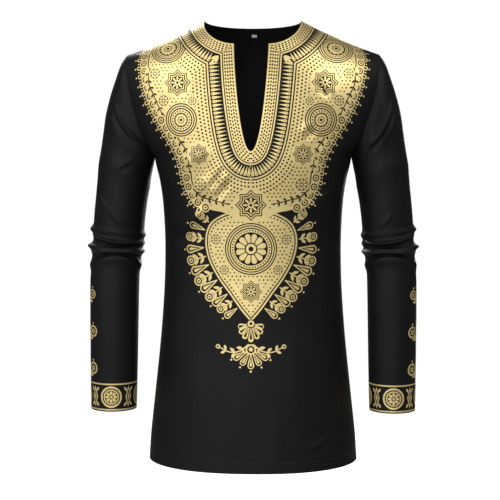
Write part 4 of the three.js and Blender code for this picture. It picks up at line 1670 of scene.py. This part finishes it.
def stitch_row(point, a, b, outward):
    """Stitches along the line of places (a, b) on the surface point(a, b)."""
    path, normal = surface_frame(point, a, b)
    lane = Lane(path)
    length, width = sizes().stitch_length / MM, sizes().stitch_width / MM
    count = int(lane.length / (length * STITCH_SPACING))
    spots = (np.arange(count) + 0.5) * lane.length / count

    def read(values, at):
        return np.stack([np.interp(at, lane.run, values[:, i]) for i in range(3)], axis=-1)

    middle, up = read(path, spots), outward * read(normal, spots)
    ahead = read(path, spots + 0.5) - read(path, spots - 0.5)
    ahead /= np.linalg.norm(ahead, axis=1, keepdims=True)
    side = np.cross(up, ahead)
    angle = 2 * math.pi * np.arange(STITCH_SIDES) / STITCH_SIDES
    points = []
    for along, wide in STITCH_RINGS:
        for one in angle if wide else angle[:1]:
            points.append(
                middle + ahead * along * length
                + side * wide * width / 2 * math.cos(one)
                + up * width * STITCH_HEIGHT * (wide / 2 * math.sin(one) + STITCH_RISE)
            )
    return np.stack(points, axis=1).reshape(-1, 3)


def stitch_faces(count):
    """Triangles of this many stitches: a point, two rings and a point each."""
    n = STITCH_SIDES
    last = STITCH_POINTS - 1
    faces = []
    for i in range(1, n + 1):
        j = i % n + 1
        faces += [(0, j, i), (i, j, n + j), (i, n + j, n + i), (n + i, n + j, last)]
    return (np.array(faces)[None] + STITCH_POINTS * np.arange(count)[:, None, None]).reshape(-1, 3)


def make_stitches(name):
    """A row round the hem and a row round each cuff."""
    rows = []
    half = float(half_width(np.array(HEM + HEM_STITCH))) - PATH_ENDS
    x = half * np.sin(np.linspace(-1, 1, HEM_PATH) * math.pi / 2)
    z = np.full_like(x, HEM + HEM_STITCH)
    for side in (FRONT, BACK):
        rows.append(stitch_row(lambda a, b, side=side: body_point(side, a, b), x, z, -side.sign))
    flat = FlatSleeve()
    s = np.linspace(flat.run[0] + PATH_ENDS, flat.run[-1] - PATH_ENDS, CUFF_PATH)
    t = np.full_like(s, CUFF_STITCH)
    cuff = stitch_row(lambda a, b: flat.point(np.stack([a, b], axis=-1)), s, t, -1)
    rows += [cuff, cuff * [-1, 1, 1]]
    points = np.concatenate(rows)
    piece = new_mesh(name, points, stitch_faces(len(points) // STITCH_POINTS))
    edit_all(piece, bpy.ops.mesh.normals_make_consistent, inside=False)
    return finish_piece(piece, spun_thread(colours().thread))


# ---- Stage ----
FLOOR_Z = -1.36  # the floor under a wearer of this tunic
ROOM_LIGHT = 0.05  # light that the room and the floor throw
FLOOR_RADIUS = 4.8  # of the flat floor
FLOOR_CURVE = 2.2  # radius of the curve that it sweeps up in
FLOOR_STEPS = 12
WALL_HEIGHT = 4.0
CAMERA_DISTANCE = 2.5
CAMERA_HEIGHT = -0.196
CAMERA_YAW = 2.0  # degrees from straight in front
CAMERA_TARGET = (-0.0055, 0.0, -0.4186)
CAMERA_LENS = 97.8


def pale_floor():
    """Matt white studio vinyl, lit from behind: it looks white, and throws less light than it shows."""
    material, tree, shader = new_material("white_studio_vinyl")
    seen = add_node(tree, "ShaderNodeLightPath").outputs["Is Camera Ray"]
    glow = add_node(tree, "ShaderNodeMapRange", {}, {"To Min": ROOM_LIGHT, "To Max": 1.0}, {"Value": seen})
    set_sockets(tree, shader, {
        "Base Color": linear("#8C8C8C") + [1],
        "Roughness": 0.9,
        "Specular IOR Level": 0.0,
        "Emission Color": linear("#FFFFFF") + [1],
    }, {"Emission Strength": glow.outputs["Result"]})
    return material


def make_floor():
    """A round floor whose rim sweeps up into a wall, so the backdrop is the same from every side."""
    bpy.ops.object.select_all(action="DESELECT")
    bpy.ops.mesh.primitive_circle_add(
        vertices=96, radius=FLOOR_RADIUS, fill_type="TRIFAN", location=(0, 0, FLOOR_Z),
    )
    floor = bpy.context.object
    floor.name = "studio_floor"
    bpy.ops.object.mode_set(mode="EDIT")
    bpy.ops.mesh.select_all(action="DESELECT")
    bpy.ops.object.mode_set(mode="OBJECT")
    for edge in floor.data.edges:
        ends = [floor.data.vertices[i].co for i in edge.vertices]
        edge.select = all(math.hypot(end.x, end.y) > 0.99 * FLOOR_RADIUS for end in ends)
    bpy.ops.object.mode_set(mode="EDIT")
    bpy.ops.mesh.select_mode(type="EDGE")
    turns = [math.pi / 2 * i / FLOOR_STEPS for i in range(FLOOR_STEPS + 1)]
    for last, turn in zip(turns, turns[1:]):
        lift = FLOOR_CURVE * (math.cos(last) - math.cos(turn))
        grow = (FLOOR_RADIUS + FLOOR_CURVE * math.sin(turn)) / (FLOOR_RADIUS + FLOOR_CURVE * math.sin(last))
        bpy.ops.mesh.extrude_region_move(TRANSFORM_OT_translate={"value": (0, 0, lift)})
        bpy.ops.transform.resize(value=(grow, grow, 1), center_override=(0, 0, FLOOR_Z))
    bpy.ops.mesh.extrude_region_move(TRANSFORM_OT_translate={"value": (0, 0, WALL_HEIGHT)})
    bpy.ops.object.mode_set(mode="OBJECT")
    edit_all(floor, bpy.ops.mesh.normals_make_consistent, inside=True)
    bpy.ops.object.shade_smooth()
    floor.data.materials.append(pale_floor())


# Places and widths are in metres, and powers in watts.
Lamp = namedtuple("Lamp", "name x y z width power")
LAMPS = [
    Lamp("left_softbox", -1.8, -1.9, 0.1, 1.2, 15),
    Lamp("high_left_softbox", -1.5, -1.0, 1.4, 1.0, 21),
    Lamp("high_right_softbox", 1.5, -1.0, 1.4, 1.0, 25),
    Lamp("front_softbox", -0.3, -2.8, 0.2, 1.6, 28),
    Lamp("back_left_softbox", 0.6, 2.8, 0.1, 1.3, 60),
    Lamp("back_right_softbox", -0.8, 2.3, 1.2, 1.1, 60),
]


def make_lights():
    """Large square lamps that face the tunic, in a dim white room."""
    middle = Vector(CAMERA_TARGET)
    for lamp in LAMPS:
        data = bpy.data.lights.new(lamp.name, "AREA")
        data.shape = "SQUARE"
        data.size = lamp.width
        data.energy = lamp.power
        made = bpy.data.objects.new(lamp.name, data)
        made.location = (lamp.x, lamp.y, lamp.z)
        made.rotation_mode = "QUATERNION"
        made.rotation_quaternion = (middle - made.location).to_track_quat("-Z", "Y")
        bpy.context.scene.collection.objects.link(made)
    world = bpy.data.worlds.new("soft_white_room")
    world.use_nodes = True
    room = world.node_tree.nodes["Background"].inputs
    room["Color"].default_value = linear("#FFFFFF") + [1]
    room["Strength"].default_value = ROOM_LIGHT
    bpy.context.scene.world = world


def make_camera():
    """A long lens in front of the tunic, a little to one side and above its middle."""
    bpy.context.scene.view_settings.view_transform = "Standard"
    data = bpy.data.cameras.new("front_camera")
    data.lens = CAMERA_LENS
    data.sensor_width = 36
    camera = bpy.data.objects.new("front_camera", data)
    yaw = math.radians(CAMERA_YAW)
    target = Vector(CAMERA_TARGET)
    camera.location = (
        target.x + CAMERA_DISTANCE * math.sin(yaw),
        -CAMERA_DISTANCE * math.cos(yaw),
        CAMERA_HEIGHT,
    )
    camera.rotation_mode = "QUATERNION"
    camera.rotation_quaternion = (target - camera.location).to_track_quat("-Z", "Y")
    bpy.context.scene.collection.objects.link(camera)
    bpy.context.scene.camera = camera


# ---- Properties, operators and panel ----
class TunicSizes(bpy.types.PropertyGroup):
    """Sizes that the operators build to"""

    wall: bpy.props.FloatProperty(
        name="Cloth Thickness", description="Thickness of the cloth wall, in metres",
        default=0.8 * MM, min=0.2 * MM, unit="LENGTH",
    )
    foil_lift: bpy.props.FloatProperty(
        name="Foil Lift", description="How far the foil's face stands off the cloth, so that they stay apart",
        default=0.28 * MM, min=0.05 * MM, unit="LENGTH",
    )
    stitch_length: bpy.props.FloatProperty(
        name="Stitch Length", description="Length of one stitch of the hem and cuffs",
        default=2.7 * MM, min=1 * MM, unit="LENGTH",
    )
    stitch_width: bpy.props.FloatProperty(
        name="Stitch Width", description="Width of one stitch, that of its thread",
        default=0.6 * MM, min=0.1 * MM, unit="LENGTH",
    )


class TunicColours(bpy.types.PropertyGroup):
    """Colours that the materials are made from"""

    cloth: bpy.props.FloatVectorProperty(
        name="Cloth", description="Colour of the sateen", subtype="COLOR",
        default=linear("#121214"), min=0, max=1,
    )
    foil: bpy.props.FloatVectorProperty(
        name="Foil", description="Colour of the printed foil", subtype="COLOR",
        default=linear("#EEDA9A"), min=0, max=1,
    )
    label: bpy.props.FloatVectorProperty(
        name="Label", description="Colour of the ribbon label", subtype="COLOR",
        default=linear("#0E0E10"), min=0, max=1,
    )
    label_block: bpy.props.FloatVectorProperty(
        name="Label Block", description="Colour of the block woven into the label", subtype="COLOR",
        default=linear("#F4F4F1"), min=0, max=1,
    )
    thread: bpy.props.FloatVectorProperty(
        name="Thread", description="Colour of the sewing thread", subtype="COLOR",
        default=linear("#1B1B1D"), min=0, max=1,
    )


def sizes():
    return bpy.context.scene.tunic_sizes


def colours():
    return bpy.context.scene.tunic_colours


FOIL_SMOOTH = 80  # the foil is shaded smooth over any fold of the cloth below this angle


def cloth_material():
    return bpy.data.materials.get(CLOTH_NAME) or sateen(colours().cloth)


def foil_material():
    return bpy.data.materials.get(FOIL_NAME) or foil(colours().foil)


class TUNIC_OT_front(bpy.types.Operator):
    """Makes the front, with its round neck and chest slit"""

    bl_idname = "tunic.front"
    bl_label = "Front"

    def execute(self, context):
        piece = cut().front.make("front_cloth", sizes().wall / MM, cloth_material(), "body_cloth")
        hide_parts("front")
        return {"FINISHED"}


class TUNIC_OT_back(bpy.types.Operator):
    """Makes the back, with its shallow neck"""

    bl_idname = "tunic.back"
    bl_label = "Back"

    def execute(self, context):
        piece = cut().back.make("back_cloth", sizes().wall / MM, cloth_material(), "body_cloth")
        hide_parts("back")
        return {"FINISHED"}


class TUNIC_OT_sleeves(bpy.types.Operator):
    """Makes both sleeves, set into the armholes"""

    bl_idname = "tunic.sleeves"
    bl_label = "Sleeves"

    def execute(self, context):
        for hand, node in ((1, "sleeve_left"), (-1, "sleeve_right")):
            sleeve = cut().sleeves[hand]
            piece = sleeve.make(node + "_cloth", sizes().wall / MM, cloth_material(), "sleeve_cloth")
            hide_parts(node)
        return {"FINISHED"}


class TUNIC_OT_label(bpy.types.Operator):
    """Makes the folded ribbon label at the back of the neck"""

    bl_idname = "tunic.label"
    bl_label = "Label"

    def execute(self, context):
        make_label("neck_label_ribbon")
        return {"FINISHED"}


class TUNIC_OT_front_print(bpy.types.Operator):
    """Makes the foil ornament on the front"""

    bl_idname = "tunic.front_print"
    bl_label = "Front Print"

    def execute(self, context):
        points, faces, uv = foil_on_front()
        piece = new_mesh("front_print", points, faces, uv)
        finish_piece(piece, foil_material(), FOIL_SMOOTH)
        return {"FINISHED"}


class TUNIC_OT_sleeve_prints(bpy.types.Operator):
    """Makes the foil borders and columns on both sleeves"""

    bl_idname = "tunic.sleeve_prints"
    bl_label = "Sleeve Prints"

    def execute(self, context):
        points, faces, uv = foil_on_sleeve()
        for hand, name in ((1, "sleeve_left_print"), (-1, "sleeve_right_print")):
            turned = faces[:, ::-1] if hand > 0 else faces
            piece = new_mesh(name, points * [hand, 1, 1], turned, uv)
            edit_all(piece, bpy.ops.mesh.remove_doubles, threshold=0.01 * MM)
            finish_piece(piece, foil_material(), FOIL_SMOOTH)
        return {"FINISHED"}


class TUNIC_OT_stitches(bpy.types.Operator):
    """Makes the stitches of the hem and cuffs"""

    bl_idname = "tunic.stitches"
    bl_label = "Stitches"

    def execute(self, context):
        make_stitches("hem_and_cuff_stitches")
        return {"FINISHED"}


class TUNIC_OT_stage(bpy.types.Operator):
    """Makes the floor, the lights and the camera"""

    bl_idname = "tunic.stage"
    bl_label = "Studio"

    def execute(self, context):
        make_floor()
        make_lights()
        make_camera()
        if context.scene.camera is None:
            raise RuntimeError("the scene has no camera")
        return {"FINISHED"}


OPERATORS = (
    TUNIC_OT_stage, TUNIC_OT_front, TUNIC_OT_back, TUNIC_OT_sleeves, TUNIC_OT_label,
    TUNIC_OT_front_print, TUNIC_OT_sleeve_prints, TUNIC_OT_stitches,
)


class VIEW3D_PT_tunic(bpy.types.Panel):
    """Lists the tunic's sizes, colours and operators"""

    bl_label = "Long Tunic"
    bl_idname = "VIEW3D_PT_tunic"
    bl_space_type = "VIEW_3D"
    bl_region_type = "UI"
    bl_category = "Tunic"

    def draw(self, context):
        for group in (context.scene.tunic_sizes, context.scene.tunic_colours):
            for name in group.__annotations__:
                self.layout.prop(group, name)
        for operator in OPERATORS:
            self.layout.operator(operator.bl_idname)


CLASSES = (TunicSizes, TunicColours, *OPERATORS, VIEW3D_PT_tunic)


def register():
    for one in CLASSES:
        bpy.utils.register_class(one)
    bpy.types.Scene.tunic_sizes = bpy.props.PointerProperty(type=TunicSizes)
    bpy.types.Scene.tunic_colours = bpy.props.PointerProperty(type=TunicColours)


def unregister():
    del bpy.types.Scene.tunic_colours
    del bpy.types.Scene.tunic_sizes
    for one in reversed(CLASSES):
        bpy.utils.unregister_class(one)


def main():
    """Makes every piece by its operator."""
    register()
    for operator in OPERATORS:
        group, name = operator.bl_idname.split(".")
        getattr(getattr(bpy.ops, group), name)()


if __name__ == "__main__":
    main()
